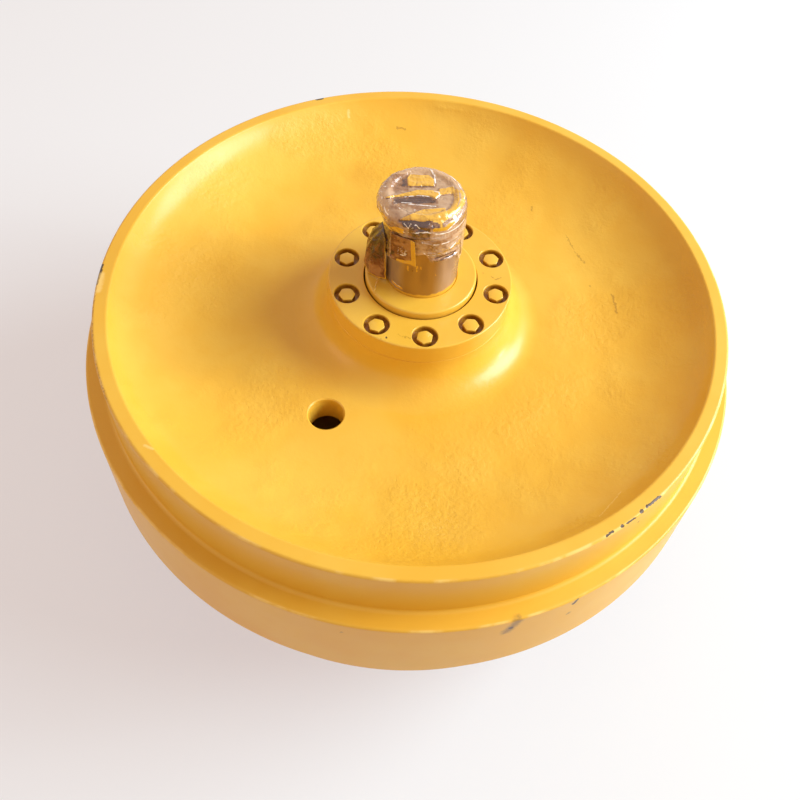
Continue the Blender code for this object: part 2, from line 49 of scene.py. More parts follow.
Point = tuple[float, float]
Place = tuple[float, float, float]
Colour = tuple[float, float, float]
Socket = bpy.types.NodeSocket
Piece = bpy.types.Object

WHEEL = "wheel_assembly"
SHAFT = "shaft_assembly"
FULL_TURN = 2 * pi
MILLIMETRES = 1000


class Side(Enum):
    """The two sides of the wheel."""

    UPPER = 1
    LOWER = -1

    @property
    def label(self) -> str:
        """The word that the side's pieces carry in their names."""
        return self.name.lower()


@dataclass(frozen=True)
class Corner:
    """One corner of an outline, rounded by a tangent arc."""

    radius: float
    height: float
    rounding: float = 0.0
    steps: int = 5


def arc_corners(centre: Point, size: float, start: float, end: float, steps: int) -> list[Corner]:
    """Sharp corners along an arc.

    Args:
        centre: Radius and height of the arc's centre.
        size: The arc's own radius.
        start: First angle, from the outward direction towards up.
        end: Last angle.
        steps: Number of chords.

    Returns:
        The corners from the first angle to the last.
    """
    angles = [start + (end - start) * i / steps for i in range(steps + 1)]
    return [Corner(centre[0] + size * cos(a), centre[1] + size * sin(a)) for a in angles]


def turned_over(corners: list[Corner]) -> list[Corner]:
    """The outline of the lower side, from the one of the upper side."""
    return [Corner(c.radius, -c.height, c.rounding, c.steps) for c in reversed(corners)]


def rounded_corner(before: Corner, corner: Corner, after: Corner, support: float) -> list[Point]:
    """The points that replace one corner.

    Args:
        before: The corner before it.
        corner: The corner to round.
        after: The corner after it.
        support: Distance from the arc to an extra point on each flank, which keeps the flank flat.

    Returns:
        The corner itself if it is sharp, or else its arc between two support points.
    """
    if not corner.rounding:
        return [(corner.radius, corner.height)]
    tip = Vector((corner.radius, corner.height))
    back = (Vector((before.radius, before.height)) - tip).normalized()
    ahead = (Vector((after.radius, after.height)) - tip).normalized()
    half = acos(max(-1.0, min(1.0, back.dot(ahead)))) / 2
    reach = corner.rounding / tan(half)
    centre = tip + (back + ahead).normalized() * corner.rounding / sin(half)
    first = tip + back * reach - centre
    last = tip + ahead * reach - centre
    sweep = pi - 2 * half
    turn = 1 if first.x * last.y - first.y * last.x > 0 else -1
    start = atan2(first.y, first.x)
    points = [tuple(tip + back * (reach + support))]
    for i in range(corner.steps + 1):
        angle = start + turn * sweep * i / corner.steps
        points.append((centre.x + corner.rounding * cos(angle), centre.y + corner.rounding * sin(angle)))
    points.append(tuple(tip + ahead * (reach + support)))
    return points


def outline_points(
    corners: list[Corner], closed: bool, longest: float = 1.0, support: float = 0.0004
) -> list[Point]:
    """The points of an outline with its corners rounded and its long runs divided.

    Args:
        corners: The corners in order.
        closed: Whether the last corner joins the first.
        longest: Longest run between two points.
        support: Distance of the support points from each arc.

    Returns:
        The points as radius and height, with the first repeated at the end of a closed outline.
    """
    count = len(corners)
    sharp: list[Point] = []
    for i, corner in enumerate(corners):
        if closed or 0 < i < count - 1:
            sharp += rounded_corner(corners[i - 1], corner, corners[(i + 1) % count], support)
        else:
            sharp.append((corner.radius, corner.height))
    if closed:
        sharp.append(sharp[0])
    points = [sharp[0]]
    for start, end in zip(sharp, sharp[1:]):
        length = hypot(end[0] - start[0], end[1] - start[1])
        parts = max(1, round(length / longest))
        for i in range(1, parts + 1):
            radius = start[0] + (end[0] - start[0]) * i / parts
            height = start[1] + (end[1] - start[1]) * i / parts
            points.append((radius, height))
    return points


def deselect() -> None:
    """Leaves object mode with nothing selected."""
    if bpy.context.object and bpy.context.object.mode != "OBJECT":
        bpy.ops.object.mode_set(mode="OBJECT")
    bpy.ops.object.select_all(action="DESELECT")


def pick(piece: Piece) -> None:
    """Makes one piece the active and only selected one.

    Args:
        piece: The piece.
    """
    deselect()
    piece.select_set(True)
    bpy.context.view_layer.objects.active = piece


def settle(piece: Piece) -> None:
    """Puts a piece's place, turn and size into its mesh."""
    pick(piece)
    bpy.ops.object.transform_apply(location=True, rotation=True, scale=True)


def turn_profile(name: str, points: list[Point], steps: int) -> Piece:
    """A solid spun about Z from an outline that is closed or runs from the axis to the axis.

    Args:
        name: The piece's name.
        points: Radius and height of each point.
        steps: Facets round the axis.

    Returns:
        The piece, at the origin, with its faces pointing outwards.
    """
    deselect()
    bpy.ops.mesh.primitive_plane_add(size=0.01)
    piece = bpy.context.object
    piece.name = name
    bpy.ops.object.mode_set(mode="EDIT")
    bpy.ops.mesh.select_all(action="SELECT")
    bpy.ops.mesh.merge(type="CENTER")
    bpy.ops.transform.translate(value=(points[0][0], 0.0, points[0][1]))
    for start, end in zip(points, points[1:]):
        move = {"value": (end[0] - start[0], 0.0, end[1] - start[1])}
        bpy.ops.mesh.extrude_vertices_move(TRANSFORM_OT_translate=move)
    bpy.ops.mesh.select_all(action="SELECT")
    bpy.ops.mesh.remove_doubles(threshold=1e-6)
    bpy.ops.mesh.select_all(action="SELECT")
    bpy.ops.mesh.spin(steps=steps, angle=FULL_TURN, center=(0, 0, 0), axis=(0, 0, 1))
    bpy.ops.mesh.select_all(action="SELECT")
    bpy.ops.mesh.remove_doubles(threshold=1e-6)
    bpy.ops.mesh.normals_make_consistent(inside=False)
    bpy.ops.object.mode_set(mode="OBJECT")
    return piece


def upright_rod(name: str, sides: int, radius: float, low: float, high: float, turn: float = 0.0) -> Piece:
    """A rod or prism on the axis, from one height to another.

    Args:
        name: The piece's name.
        sides: Number of its sides.
        radius: Distance of its corners from the axis.
        low: The lower height.
        high: The upper height.
        turn: Angle of its first corner.

    Returns:
        The rod, with its place in its mesh.
    """
    deselect()
    place = (0.0, 0.0, (low + high) / 2)
    bpy.ops.mesh.primitive_cylinder_add(
        vertices=sides, radius=radius, depth=high - low, location=place, rotation=(0.0, 0.0, turn)
    )
    rod = bpy.context.object
    rod.name = name
    settle(rod)
    return rod


def apply_modifier(piece: Piece, modifier: bpy.types.Modifier) -> None:
    """Applies one modifier to its piece."""
    pick(piece)
    bpy.ops.object.modifier_apply(modifier=modifier.name)


def combine(piece: Piece, tool: Piece, operation: str = "DIFFERENCE") -> None:
    """Cuts a tool out of a piece, or joins or crosses the two, and removes the tool.

    Args:
        piece: The piece that changes.
        tool: The solid that changes it.
        operation: DIFFERENCE, UNION or INTERSECT.
    """
    modifier = piece.modifiers.new(tool.name, "BOOLEAN")
    modifier.operation = operation
    modifier.solver = "EXACT"
    modifier.object = tool
    apply_modifier(piece, modifier)
    bpy.data.objects.remove(tool, do_unlink=True)


def copy_piece(piece: Piece, name: str, place: Matrix) -> Piece:
    """A copy with its own mesh, moved by a matrix that goes into the mesh.

    Args:
        piece: The piece.
        name: The copy's name.
        place: The matrix.

    Returns:
        The copy.
    """
    mesh = piece.data.copy()
    mesh.name = name
    mesh.transform(place)
    copy = bpy.data.objects.new(name, mesh)
    bpy.context.scene.collection.objects.link(copy)
    return copy


def join_pieces(pieces: list[Piece], name: str) -> Piece:
    """Joins pieces that don't touch into one object.

    Args:
        pieces: The pieces.
        name: The name of what they become.

    Returns:
        The joined piece.
    """
    deselect()
    for piece in pieces:
        piece.select_set(True)
    bpy.context.view_layer.objects.active = pieces[0]
    bpy.ops.object.join()
    pieces[0].name = name
    return pieces[0]


def smooth(piece: Piece, angle: float = 28.0) -> None:
    """Smooth faces, with edges sharper than the angle in degrees kept sharp."""
    pick(piece)
    bpy.ops.object.shade_smooth_by_angle(angle=radians(angle))


def finish_piece(
    piece: Piece, material: bpy.types.Material, body: str, nodes: tuple[str, ...] = ()
) -> None:
    """Gives a finished piece its material, its body and the CAD nodes that it stands for.

    Args:
        piece: The piece, in place.
        material: Its finish.
        body: The CAD body that it moves with.
        nodes: The CAD nodes that it replaces.
    """
    piece.data.materials.clear()
    piece.data.materials.append(material)
    piece.data.name = piece.name
    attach(piece, body)
    if nodes:
        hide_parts(*nodes)
    log.info("%s: %d faces on %s", piece.name, len(piece.data.polygons), body)


class Recipe:
    """The nodes of one material, added in the order that they work."""

    def __init__(self, name: str) -> None:
        """Starts a material with its shader.

        Args:
            name: The material's name.
        """
        self.material = bpy.data.materials.new(name)
        self.material.use_nodes = True
        self.tree = self.material.node_tree
        self.shader = self.tree.nodes["Principled BSDF"]
        self.place = self.tree.nodes.new("ShaderNodeTexCoord").outputs["Object"]

    def feed(self, socket: Socket, value: Socket | float | tuple[float, ...]) -> None:
        """Sets a socket to a constant or joins it to another.

        Args:
            socket: The socket.
            value: A constant, or the socket that feeds it.
        """
        if isinstance(value, bpy.types.NodeSocket):
            self.tree.links.new(value, socket)
        elif isinstance(value, tuple) and socket.type == "RGBA":
            socket.default_value = (*value, 1.0)
        else:
            socket.default_value = value

    def constant(self, **values: float | Colour) -> None:
        """Sets the shader's own sockets, with underscores for the spaces in their names."""
        for name, value in values.items():
            self.feed(self.shader.inputs[name.replace("_", " ").title().replace("Ior", "IOR")], value)

    def math(self, operation: str, *values: Socket | float) -> Socket:
        """The result of a Math node.

        Args:
            operation: The node's operation.
            values: Its inputs in order.

        Returns:
            Its result.
        """
        node = self.tree.nodes.new("ShaderNodeMath")
        node.operation = operation
        for socket, value in zip(node.inputs, values):
            self.feed(socket, value)
        return node.outputs[0]

    def vector(self, operation: str, *values: Socket | tuple[float, ...]) -> bpy.types.Node:
        """A Vector Math node.

        Args:
            operation: The node's operation.
            values: Its inputs in order.

        Returns:
            The node.
        """
        node = self.tree.nodes.new("ShaderNodeVectorMath")
        node.operation = operation
        for socket, value in zip(node.inputs, values):
            self.feed(socket, value)
        return node

    def stretched(self, scale: tuple[float, float, float], turn: float = 0.0) -> Socket:
        """The place on the object, turned about Z and then scaled along each axis.

        Args:
            scale: Scale along X, Y and Z.
            turn: Angle about Z, before it is scaled.

        Returns:
            The place.
        """
        node = self.tree.nodes.new("ShaderNodeMapping")
        node.inputs["Rotation"].default_value = (0.0, 0.0, turn)
        node.inputs["Scale"].default_value = scale
        self.feed(node.inputs["Vector"], self.place)
        return node.outputs[0]

    def cloud(
        self, scale: float, detail: float = 2.0, place: Socket | None = None, roughness: float = 0.5
    ) -> Socket:
        """Soft noise between about 0.2 and 0.8.

        Args:
            scale: Waves per metre, or per unit of a stretched place.
            detail: How many finer waves lie on them.
            place: Where it is read, or None for the place on the object.
            roughness: How strong the finer waves are.

        Returns:
            The noise.
        """
        node = self.tree.nodes.new("ShaderNodeTexNoise")
        node.inputs["Scale"].default_value = scale
        node.inputs["Detail"].default_value = detail
        node.inputs["Roughness"].default_value = roughness
        self.feed(node.inputs["Vector"], place or self.place)
        return node.outputs["Fac"]

    def cells(self, scale: float, place: Socket | None = None) -> Socket:
        """Distance to the nearest of scattered points.

        Args:
            scale: Points per metre.
            place: Where it is read, or None for the place on the object.

        Returns:
            The distance.
        """
        node = self.tree.nodes.new("ShaderNodeTexVoronoi")
        node.inputs["Scale"].default_value = scale
        self.feed(node.inputs["Vector"], place or self.place)
        return node.outputs["Distance"]

    def band(self, value: Socket, low: float, high: float) -> Socket:
        """0 where the value is at low, 1 where it is at high, and smooth between them.

        Args:
            value: The number.
            low: Where the result is 0.
            high: Where it is 1.

        Returns:
            The result.
        """
        node = self.tree.nodes.new("ShaderNodeMapRange")
        node.interpolation_type = "SMOOTHSTEP"
        rising = high > low
        self.feed(node.inputs["Value"], value)
        node.inputs["From Min"].default_value = low if rising else high
        node.inputs["From Max"].default_value = high if rising else low
        node.inputs["To Min"].default_value = 0.0 if rising else 1.0
        node.inputs["To Max"].default_value = 1.0 if rising else 0.0
        return node.outputs["Result"]

    def blend(self, share: Socket | float, first: Socket | Colour, second: Socket | Colour) -> Socket:
        """A colour between the first, at share 0, and the second, at share 1.

        Args:
            share: How much of the second.
            first: A colour.
            second: Another.

        Returns:
            The blend.
        """
        node = self.tree.nodes.new("ShaderNodeMix")
        node.data_type = "RGBA"
        self.feed(node.inputs["Factor"], share)
        self.feed(node.inputs[6], first)
        self.feed(node.inputs[7], second)
        return node.outputs[2]

    def span(self, share: Socket, low: float, high: float) -> Socket:
        """A number from low, at share 0, to high, at share 1."""
        return self.math("MULTIPLY_ADD", share, high - low, low)

    def axis_distance(self) -> Socket:
        """Distance from the wheel's axis."""
        flat = self.vector("MULTIPLY", self.place, (1.0, 1.0, 0.0)).outputs["Vector"]
        return self.vector("LENGTH", flat).outputs["Value"]

    def part(self, axis: str, place: Socket | None = None) -> Socket:
        """One coordinate of a place, X, Y or Z.

        Args:
            axis: The coordinate's letter.
            place: The place, or None for the place on the object.

        Returns:
            The coordinate.
        """
        node = self.tree.nodes.new("ShaderNodeSeparateXYZ")
        self.feed(node.inputs[0], place or self.place)
        return node.outputs[axis]

    def distance_to_line(self, start: Place, end: Place, place: Socket) -> Socket:
        """Distance of a place from the line between two points.

        Args:
            start: One end.
            end: The other end.
            place: The place.

        Returns:
            The distance.
        """
        axis = Vector(end) - Vector(start)
        from_start = self.vector("SUBTRACT", place, start).outputs["Vector"]
        if not axis.length:
            return self.vector("LENGTH", from_start).outputs["Value"]
        slope = tuple(axis / axis.length_squared)
        along = self.math("MULTIPLY", self.vector("DOT_PRODUCT", from_start, slope).outputs["Value"], 1.0)
        along.node.use_clamp = True
        nearest = self.vector("SCALE", tuple(axis))
        self.feed(nearest.inputs["Scale"], along)
        return self.vector("DISTANCE", from_start, nearest.outputs["Vector"]).outputs["Value"]

    def jittered(self, scale: float, reach: float) -> Socket:
        """The place, shifted by noise, so that what is drawn on it gets a ragged edge.

        Args:
            scale: Waves of the noise per metre.
            reach: How far it can shift.

        Returns:
            The shifted place.
        """
        node = self.tree.nodes.new("ShaderNodeTexNoise")
        node.inputs["Scale"].default_value = scale
        node.inputs["Detail"].default_value = 3.0
        self.feed(node.inputs["Vector"], self.place)
        centred = self.vector("SUBTRACT", node.outputs["Color"], (0.5, 0.5, 0.5)).outputs["Vector"]
        shift = self.vector("MULTIPLY", centred, (reach, reach, reach)).outputs["Vector"]
        return self.vector("ADD", self.place, shift).outputs["Vector"]

    def attribute(self, name: str) -> Socket:
        """A number that the mesh carries at its vertices.

        Args:
            name: Its name.

        Returns:
            The number.
        """
        node = self.tree.nodes.new("ShaderNodeAttribute")
        node.attribute_name = name
        return node.outputs["Fac"]

    def bump(self, height: Socket, depth: float, below: Socket | None = None) -> Socket:
        """A bump of a depth in metres, over another one.

        Args:
            height: Its height, from 0 to 1.
            depth: The depth.
            below: The bump under it, or None.

        Returns:
            The normal.
        """
        node = self.tree.nodes.new("ShaderNodeBump")
        node.inputs["Distance"].default_value = depth
        self.feed(node.inputs["Height"], height)
        if below:
            self.feed(node.inputs["Normal"], below)
        return node.outputs["Normal"]

    def largest(self, values: list[Socket]) -> Socket:
        """The largest of several numbers.

        Args:
            values: The numbers.

        Returns:
            The largest.
        """
        result = values[0]
        for value in values[1:]:
            result = self.math("MAXIMUM", result, value)
        return result

    def mark_mask(self, marks: list["Mark"]) -> Socket:
        """How strongly marks of one kind show.

        Args:
            marks: The marks, all of one kind.

        Returns:
            The mask, from 0 to the kind's strength.
        """
        _, strength, core, reach = marks[0].kind.value
        ragged = self.jittered(240.0, reach)
        masks = []
        for mark in marks:
            distance = self.distance_to_line(mark.start, mark.end, ragged)
            masks.append(self.band(distance, mark.width, mark.width * core))
        return self.math("MULTIPLY", self.largest(masks), strength)

    def finished(self, colour: Socket, roughness: Socket, normal: Socket) -> bpy.types.Material:
        """The material, with its colour, roughness and normal joined.

        Args:
            colour: The base colour.
            roughness: The roughness.
            normal: The last bump.

        Returns:
            The material.
        """
        for name, value in (("Base Color", colour), ("Roughness", roughness), ("Normal", normal)):
            self.feed(self.shader.inputs[name], value)
        return self.material


class MarkKind(Enum):
    """A kind of mark: its colour, its strength, the solid share of its width and its raggedness."""

    CHIP = ((0.045, 0.022, 0.010), 0.95, 0.60, 0.0035)
    SMUDGE = ((0.13, 0.070, 0.035), 0.65, 0.10, 0.0080)
    # a painted shadow: a soft darker patch laid on the paint where a shadow falls
    SHADE = ((0.60, 0.27, 0.012), 0.30, 0.05, 0.0200)
    # dark scratches, and also a painted shade line along an edge
    SCRATCH = ((0.36, 0.17, 0.010), 0.60, 0.25, 0.0080)
    # a painted highlight: paler paint where light glints on an edge or face
    SHINE = ((0.95, 0.72, 0.26), 0.60, 0.20, 0.0040)
    PAINT = ((0.80, 0.46, 0.030), 0.90, 0.45, 0.0040)
    # a painted shade line: dark in the creases under folds of film and down the shaded edges of the shaft,
    # with some grime in the creases
    CREASE = ((0.070, 0.030, 0.013), 0.90, 0.30, 0.0030)
    GLARE = ((0.98, 0.95, 0.90), 0.92, 0.25, 0.0024)


@dataclass(frozen=True)
class Mark:
    """A mark along a line."""

    kind: MarkKind
    start: Place
    end: Place
    width: float

    @cached_property
    def ends(self) -> tuple[Vector, Vector]:
        """The line's two ends."""
        return Vector(self.start), Vector(self.end)

    @cached_property
    def middle(self) -> Vector:
        """The middle of the line."""
        return (self.ends[0] + self.ends[1]) / 2

    @cached_property
    def reach(self) -> float:
        """How far from the middle the mark can be seen."""
        return (self.ends[1] - self.ends[0]).length / 2 + self.width

    def nearness(self, place: Vector) -> float:
        """1 on the line, 0 at its width and beyond.

        Args:
            place: A place on the object.

        Returns:
            How near it is.
        """
        if (place - self.middle).length > self.reach:
            return 0.0
        share = min(1.0, max(0.0, intersect_point_line(place, *self.ends)[1]))
        return max(0.0, 1.0 - (place - self.ends[0].lerp(self.ends[1], share)).length / self.width)


def marks_in_mm(kind: MarkKind, *rows: tuple[float | Place, ...]) -> tuple[Mark, ...]:
    """Marks of one kind, from rows in millimetres.

    Args:
        kind: The kind.
        rows: A width, and then the place of a round mark or the places that a line runs through.

    Returns:
        A mark for each round place and for each straight run.
    """
    marks = []
    for width, *places in rows:
        placed = [tuple(part / MILLIMETRES for part in place) for place in places]
        for start, end in zip(placed, placed[1:] or placed):
            marks.append(Mark(kind, start, end, width / MILLIMETRES))
    return tuple(marks)


@dataclass(frozen=True)
class Ring:
    """A turned edge, on which the paint is thin."""

    radius: float
    height: float
    width: float = 0.0025


@dataclass(frozen=True)
class PaintFinish:
    """Semi-gloss yellow paint over cast or turned iron."""

    name: str
    colour: Colour = (0.800, 0.492, 0.055)
    deep: Colour = (0.785, 0.446, 0.034)
    thin: Colour = (0.90, 0.62, 0.16)
    # the colour of dirt and painted shade in the recesses
    dirt: Colour = (0.33, 0.125, 0.006)
    roughness: float = 0.34
    cast_radius: float = 0.0
    cast_depth: float = 0.0010
    peel_depth: float = 0.00004
    recess: tuple[float, float, float] = (0.0, 0.0, 0.0)
    marks: tuple[Mark, ...] = ()
    edges: tuple[Ring, ...] = ()

    def make(self) -> bpy.types.Material:
        """The paint's material.

        Returns:
            The material.
        """
        recipe = Recipe(self.name)
        recipe.constant(metallic=0.0, specular_ior_level=0.36, coat_weight=0.30, coat_roughness=0.22)
        mottle = recipe.band(recipe.cloud(7.0, 3.0), 0.36, 0.66)
        colour = recipe.blend(mottle, self.colour, self.deep)
        haze = recipe.band(recipe.cloud(55.0, 4.0), 0.52, 0.75)
        colour = recipe.blend(recipe.math("MULTIPLY", haze, 0.35), colour, self.deep)
        gloss = recipe.span(recipe.cloud(24.0, 3.0), self.roughness - 0.05, self.roughness + 0.08)
        peel = recipe.bump(recipe.cloud(260.0, 2.0), self.peel_depth)
        if self.cast_radius:
            peel = self.casting_skin(recipe, peel)
            dull = recipe.band(recipe.axis_distance(), 0.160, 0.230)
            gloss = recipe.math("MULTIPLY_ADD", dull, 0.14, gloss)
        if self.edges:
            colour = recipe.blend(self.edge_wear(recipe), colour, self.thin)
        # dirt and painted shade darken the counterbores and the lower sides of the bolt heads
        if self.recess[0]:
            colour = recipe.blend(self.recess_dirt(recipe), colour, self.dirt)
        # each kind of mark is laid over the colour; the shadow, shine and shade-line kinds are painted light
        # and shade
        for kind in MarkKind:
            marks = [m for m in self.marks if m.kind is kind]
            if marks:
                mask = recipe.mark_mask(marks)
                colour = recipe.blend(mask, colour, kind.value[0])
                if kind is MarkKind.CHIP:
                    peel = recipe.bump(recipe.math("SUBTRACT", 1.0, mask), 0.0003, peel)
        return recipe.finished(colour, gloss, peel)

    def casting_skin(self, recipe: Recipe, below: Socket) -> Socket:
        """The sand-cast skin of the dishes under the paint.

        Args:
            recipe: The material's nodes.
            below: The bump that it lies on.

        Returns:
            The bump with waves, grains and pits inside the cast radius.
        """
        inside = recipe.band(recipe.axis_distance(), self.cast_radius + 0.004, self.cast_radius - 0.004)
        patchy = recipe.span(recipe.band(recipe.cloud(9.0, 2.0), 0.40, 0.66), 0.20, 1.50)
        outer = recipe.span(recipe.band(recipe.axis_distance(), 0.150, 0.210), 0.25, 1.0)
        grain = recipe.cloud(150.0, 5.0, roughness=0.62)
        pits = recipe.band(recipe.cells(130.0, recipe.jittered(60.0, 0.012)), 0.0, 0.20)
        waves = recipe.cloud(42.0, 2.0)
        skin = recipe.math("MULTIPLY_ADD", pits, 0.22, grain)
        skin = recipe.math("MULTIPLY_ADD", waves, 0.9, skin)
        depth = recipe.math("MULTIPLY", recipe.math("MULTIPLY", inside, patchy), outer)
        return recipe.bump(recipe.math("MULTIPLY", skin, depth), self.cast_depth, below)

    def edge_wear(self, recipe: Recipe) -> Socket:
        """Where the paint is thin along the turned edges.

        Args:
            recipe: The material's nodes.

        Returns:
            The mask.
        """
        radius = recipe.axis_distance()
        height = recipe.math("ABSOLUTE", recipe.part("Z"))
        marks = []
        for edge in self.edges:
            out = recipe.math("SUBTRACT", radius, edge.radius)
            up = recipe.math("SUBTRACT", height, edge.height)
            squares = recipe.math("ADD", recipe.math("MULTIPLY", out, out), recipe.math("MULTIPLY", up, up))
            marks.append(recipe.band(recipe.math("SQRT", squares), edge.width, edge.width * 0.3))
        patchy = recipe.band(recipe.cloud(30.0, 4.0), 0.48, 0.64)
        return recipe.math("MULTIPLY", recipe.largest(marks), patchy)

    def recess_dirt(self, recipe: Recipe) -> Socket:
        """Where dirt gathers and painted shade darkens the recesses: from one height down to another, inside
        a radius.

        Args:
            recipe: The material's nodes.

        Returns:
            The mask.
        """
        high, low, radius = self.recess
        height = recipe.math("ABSOLUTE", recipe.part("Z"))
        deep = recipe.band(height, high, low)
        inside = recipe.band(recipe.axis_distance(), radius + 0.0006, radius - 0.0006)
        uneven = recipe.span(recipe.band(recipe.cloud(160.0, 3.0), 0.30, 0.65), 0.72, 0.97)
        return recipe.math("MULTIPLY", recipe.math("MULTIPLY", deep, inside), uneven)


@dataclass(frozen=True)
class GreasedSteelFinish:
    """Turned steel under brown grease, with paint over its foot, and painted shade, sheen and glints."""

    name: str = "greased_steel"
    steel: Colour = (0.54, 0.44, 0.38)
    grease: Colour = (0.41, 0.250, 0.090)
    paint: Colour = (0.80, 0.48, 0.042)
    paint_height: float = 0.1668
    marks: tuple[Mark, ...] = (
        # painted shade down the shaft's left and right edges; the left one also stands for the tail's shadow
        *marks_in_mm(
            MarkKind.CREASE,
            (5.2, (-41.7, -17, 230), (-40.7, -19.2, 169)),
            (4, (44.7, -5, 220), (44.4, -7.2, 169)),
        ),
        *marks_in_mm(
            MarkKind.PAINT,
            (1.3, (-13.2, -43, 214), (-12.8, -43.2, 207.5)),
            (1.3, (-2.4, -45, 218), (-2, -45, 210)),
            (1, (2.8, -45, 219), (2.8, -45, 215)),
            (1, (21, -39.8, 203), (21.2, -39.7, 202)),
            (3, (-32, -31.6, 170), (-20, -40.3, 170.5)),
        ),
        *marks_in_mm(
            MarkKind.GLARE,
            (0.9, (-31, -32.6, 172.2), (-21.5, -39.5, 172.2)),
        ),
    )

    def make(self) -> bpy.types.Material:
        """The greased steel's material.

        Returns:
            The material.
        """
        recipe = Recipe(self.name)
        streaks = recipe.cloud(1.0, 2.0, recipe.stretched((26.0, 26.0, 2.5)))
        fine = recipe.cloud(1.0, 3.0, recipe.stretched((120.0, 120.0, 14.0)))
        # the sides in X take the lighter steel colour: partly bare steel and partly painted sheen down the
        # round shaft; grease brown stays in the middle
        bare_and_sheen_sides = recipe.band(recipe.math("ABSOLUTE", recipe.part("X")), 0.010, 0.030)
        smear = recipe.math("SUBTRACT", recipe.math("MULTIPLY_ADD", fine, 0.3, streaks), bare_and_sheen_sides)
        colour = recipe.blend(recipe.band(smear, -0.60, 0.50), self.steel, self.grease)
        lines = recipe.cloud(1.0, 2.0, recipe.stretched((2.0, 2.0, 2600.0)))
        bump = recipe.bump(lines, 0.00001)
        bump = recipe.bump(recipe.cloud(180.0, 3.0), 0.00010, bump)
        ragged = recipe.jittered(120.0, 0.007)
        height = recipe.math("ABSOLUTE", recipe.part("Z", ragged))
        lift = recipe.math("MULTIPLY", recipe.part("X", ragged), 0.06)
        edge = recipe.math("SUBTRACT", height, lift)
        painted = recipe.band(edge, self.paint_height + 0.0008, self.paint_height - 0.0008)
        colour = recipe.blend(painted, colour, self.paint)
        # paint, painted shade lines and painted glints all cover the metal
        for kind in (MarkKind.PAINT, MarkKind.CREASE, MarkKind.GLARE):
            mask = recipe.mark_mask([m for m in self.marks if m.kind is kind])
            colour = recipe.blend(mask, colour, kind.value[0])
            painted = recipe.math("MAXIMUM", painted, mask)
        recipe.feed(recipe.shader.inputs["Metallic"], recipe.span(painted, 0.80, 0.0))
        return recipe.finished(colour, recipe.span(recipe.cloud(40.0, 3.0), 0.20, 0.42), bump)


@dataclass(frozen=True)
class MetalFinish:
    """Bare metal with turning lines and faint stains."""

    name: str
    colour: Colour
    stain: Colour
    roughness: float = 0.28
    line_scale: float = 1800.0

    def make(self) -> bpy.types.Material:
        """The metal's material.

        Returns:
            The material.
        """
        recipe = Recipe(self.name)
        recipe.constant(metallic=1.0)
        stains = recipe.band(recipe.cloud(45.0, 4.0), 0.45, 0.72)
        lines = recipe.cloud(1.0, 2.0, recipe.stretched((3.0, 3.0, self.line_scale)))
        colour = recipe.blend(stains, self.colour, self.stain)
        gloss = recipe.span(recipe.cloud(60.0, 2.0), self.roughness - 0.06, self.roughness + 0.10)
        return recipe.finished(colour, gloss, recipe.bump(lines, 0.00001))


@dataclass(frozen=True)
class RubberFinish:
    """Matt black rubber with a moulded grain."""

    name: str = "seal_rubber"
    colour: Colour = (0.018, 0.018, 0.019)
    bloom: Colour = (0.050, 0.049, 0.047)

    def make(self) -> bpy.types.Material:
        """The rubber's material.

        Returns:
            The material.
        """
        recipe = Recipe(self.name)
        recipe.constant(metallic=0.0, specular_ior_level=0.35)
        dusty = recipe.band(recipe.cloud(120.0, 3.0), 0.45, 0.75)
        colour = recipe.blend(dusty, self.colour, self.bloom)
        gloss = recipe.span(recipe.cloud(80.0, 2.0), 0.55, 0.75)
        return recipe.finished(colour, gloss, recipe.bump(recipe.cloud(900.0, 2.0), 0.00003))


@dataclass(frozen=True)
class FilmFinish:
    """Clear crinkled film with grease under it, paint spray over it, painted shade in its creases and painted
    glare, as the mesh's attributes say.
    """

    name: str
    haze: Colour = (0.86, 0.61, 0.38)
    amber: Colour = (0.42, 0.205, 0.080)
    grease_and_shade: Colour = (0.100, 0.038, 0.016)
    spray: Colour = (0.78, 0.44, 0.030)
    least_cover: float = 0.47
    coat: float = 1.0

    def make(self) -> bpy.types.Material:
        """The film's material.

        Returns:
            The material.
        """
        recipe = Recipe(self.name)
        recipe.constant(metallic=0.0, ior=1.5, coat_weight=self.coat, coat_roughness=0.05)
        fine = recipe.cloud(190.0, 4.0)
        coarse = recipe.cloud(55.0, 3.0)
        # this darkness carries grease under the film and painted shade; where it is low the film stays clear
        # and pale, which also stands for painted sheen
        dirt = recipe.math("ADD", recipe.attribute("grease_and_shade"), recipe.span(fine, -0.42, 0.34))
        dirt = recipe.math("ADD", dirt, recipe.span(coarse, -0.42, 0.34))
        edge = recipe.span(recipe.cloud(320.0, 3.0), -0.30, 0.30)
        spray = recipe.band(recipe.math("ADD", recipe.attribute("spray"), edge), 0.38, 0.62)
        colour = recipe.blend(recipe.band(dirt, 0.10, 0.55), self.haze, self.amber)
        colour = recipe.blend(recipe.band(dirt, 0.58, 0.92), colour, self.grease_and_shade)
        colour = recipe.blend(spray, colour, self.spray)
        grease_and_shade_cover = recipe.span(recipe.band(dirt, 0.10, 1.0), self.least_cover, 0.93)
        cover = recipe.math("MAXIMUM", grease_and_shade_cover, recipe.math("MULTIPLY", spray, 0.97))
        glare = recipe.band(recipe.math("ADD", recipe.attribute("glare"), edge), 0.30, 0.70)
        colour = recipe.blend(glare, colour, MarkKind.GLARE.value[0])
        cover = recipe.math("MAXIMUM", cover, glare)
        crease = recipe.band(recipe.cells(130.0, recipe.jittered(70.0, 0.02)), 0.0, 0.5)
        bump = recipe.bump(recipe.math("ADD", crease, recipe.cloud(300.0, 3.0)), 0.0007)
        recipe.feed(recipe.shader.inputs["Alpha"], cover)
        return recipe.finished(colour, recipe.span(spray, 0.10, 0.26), bump)


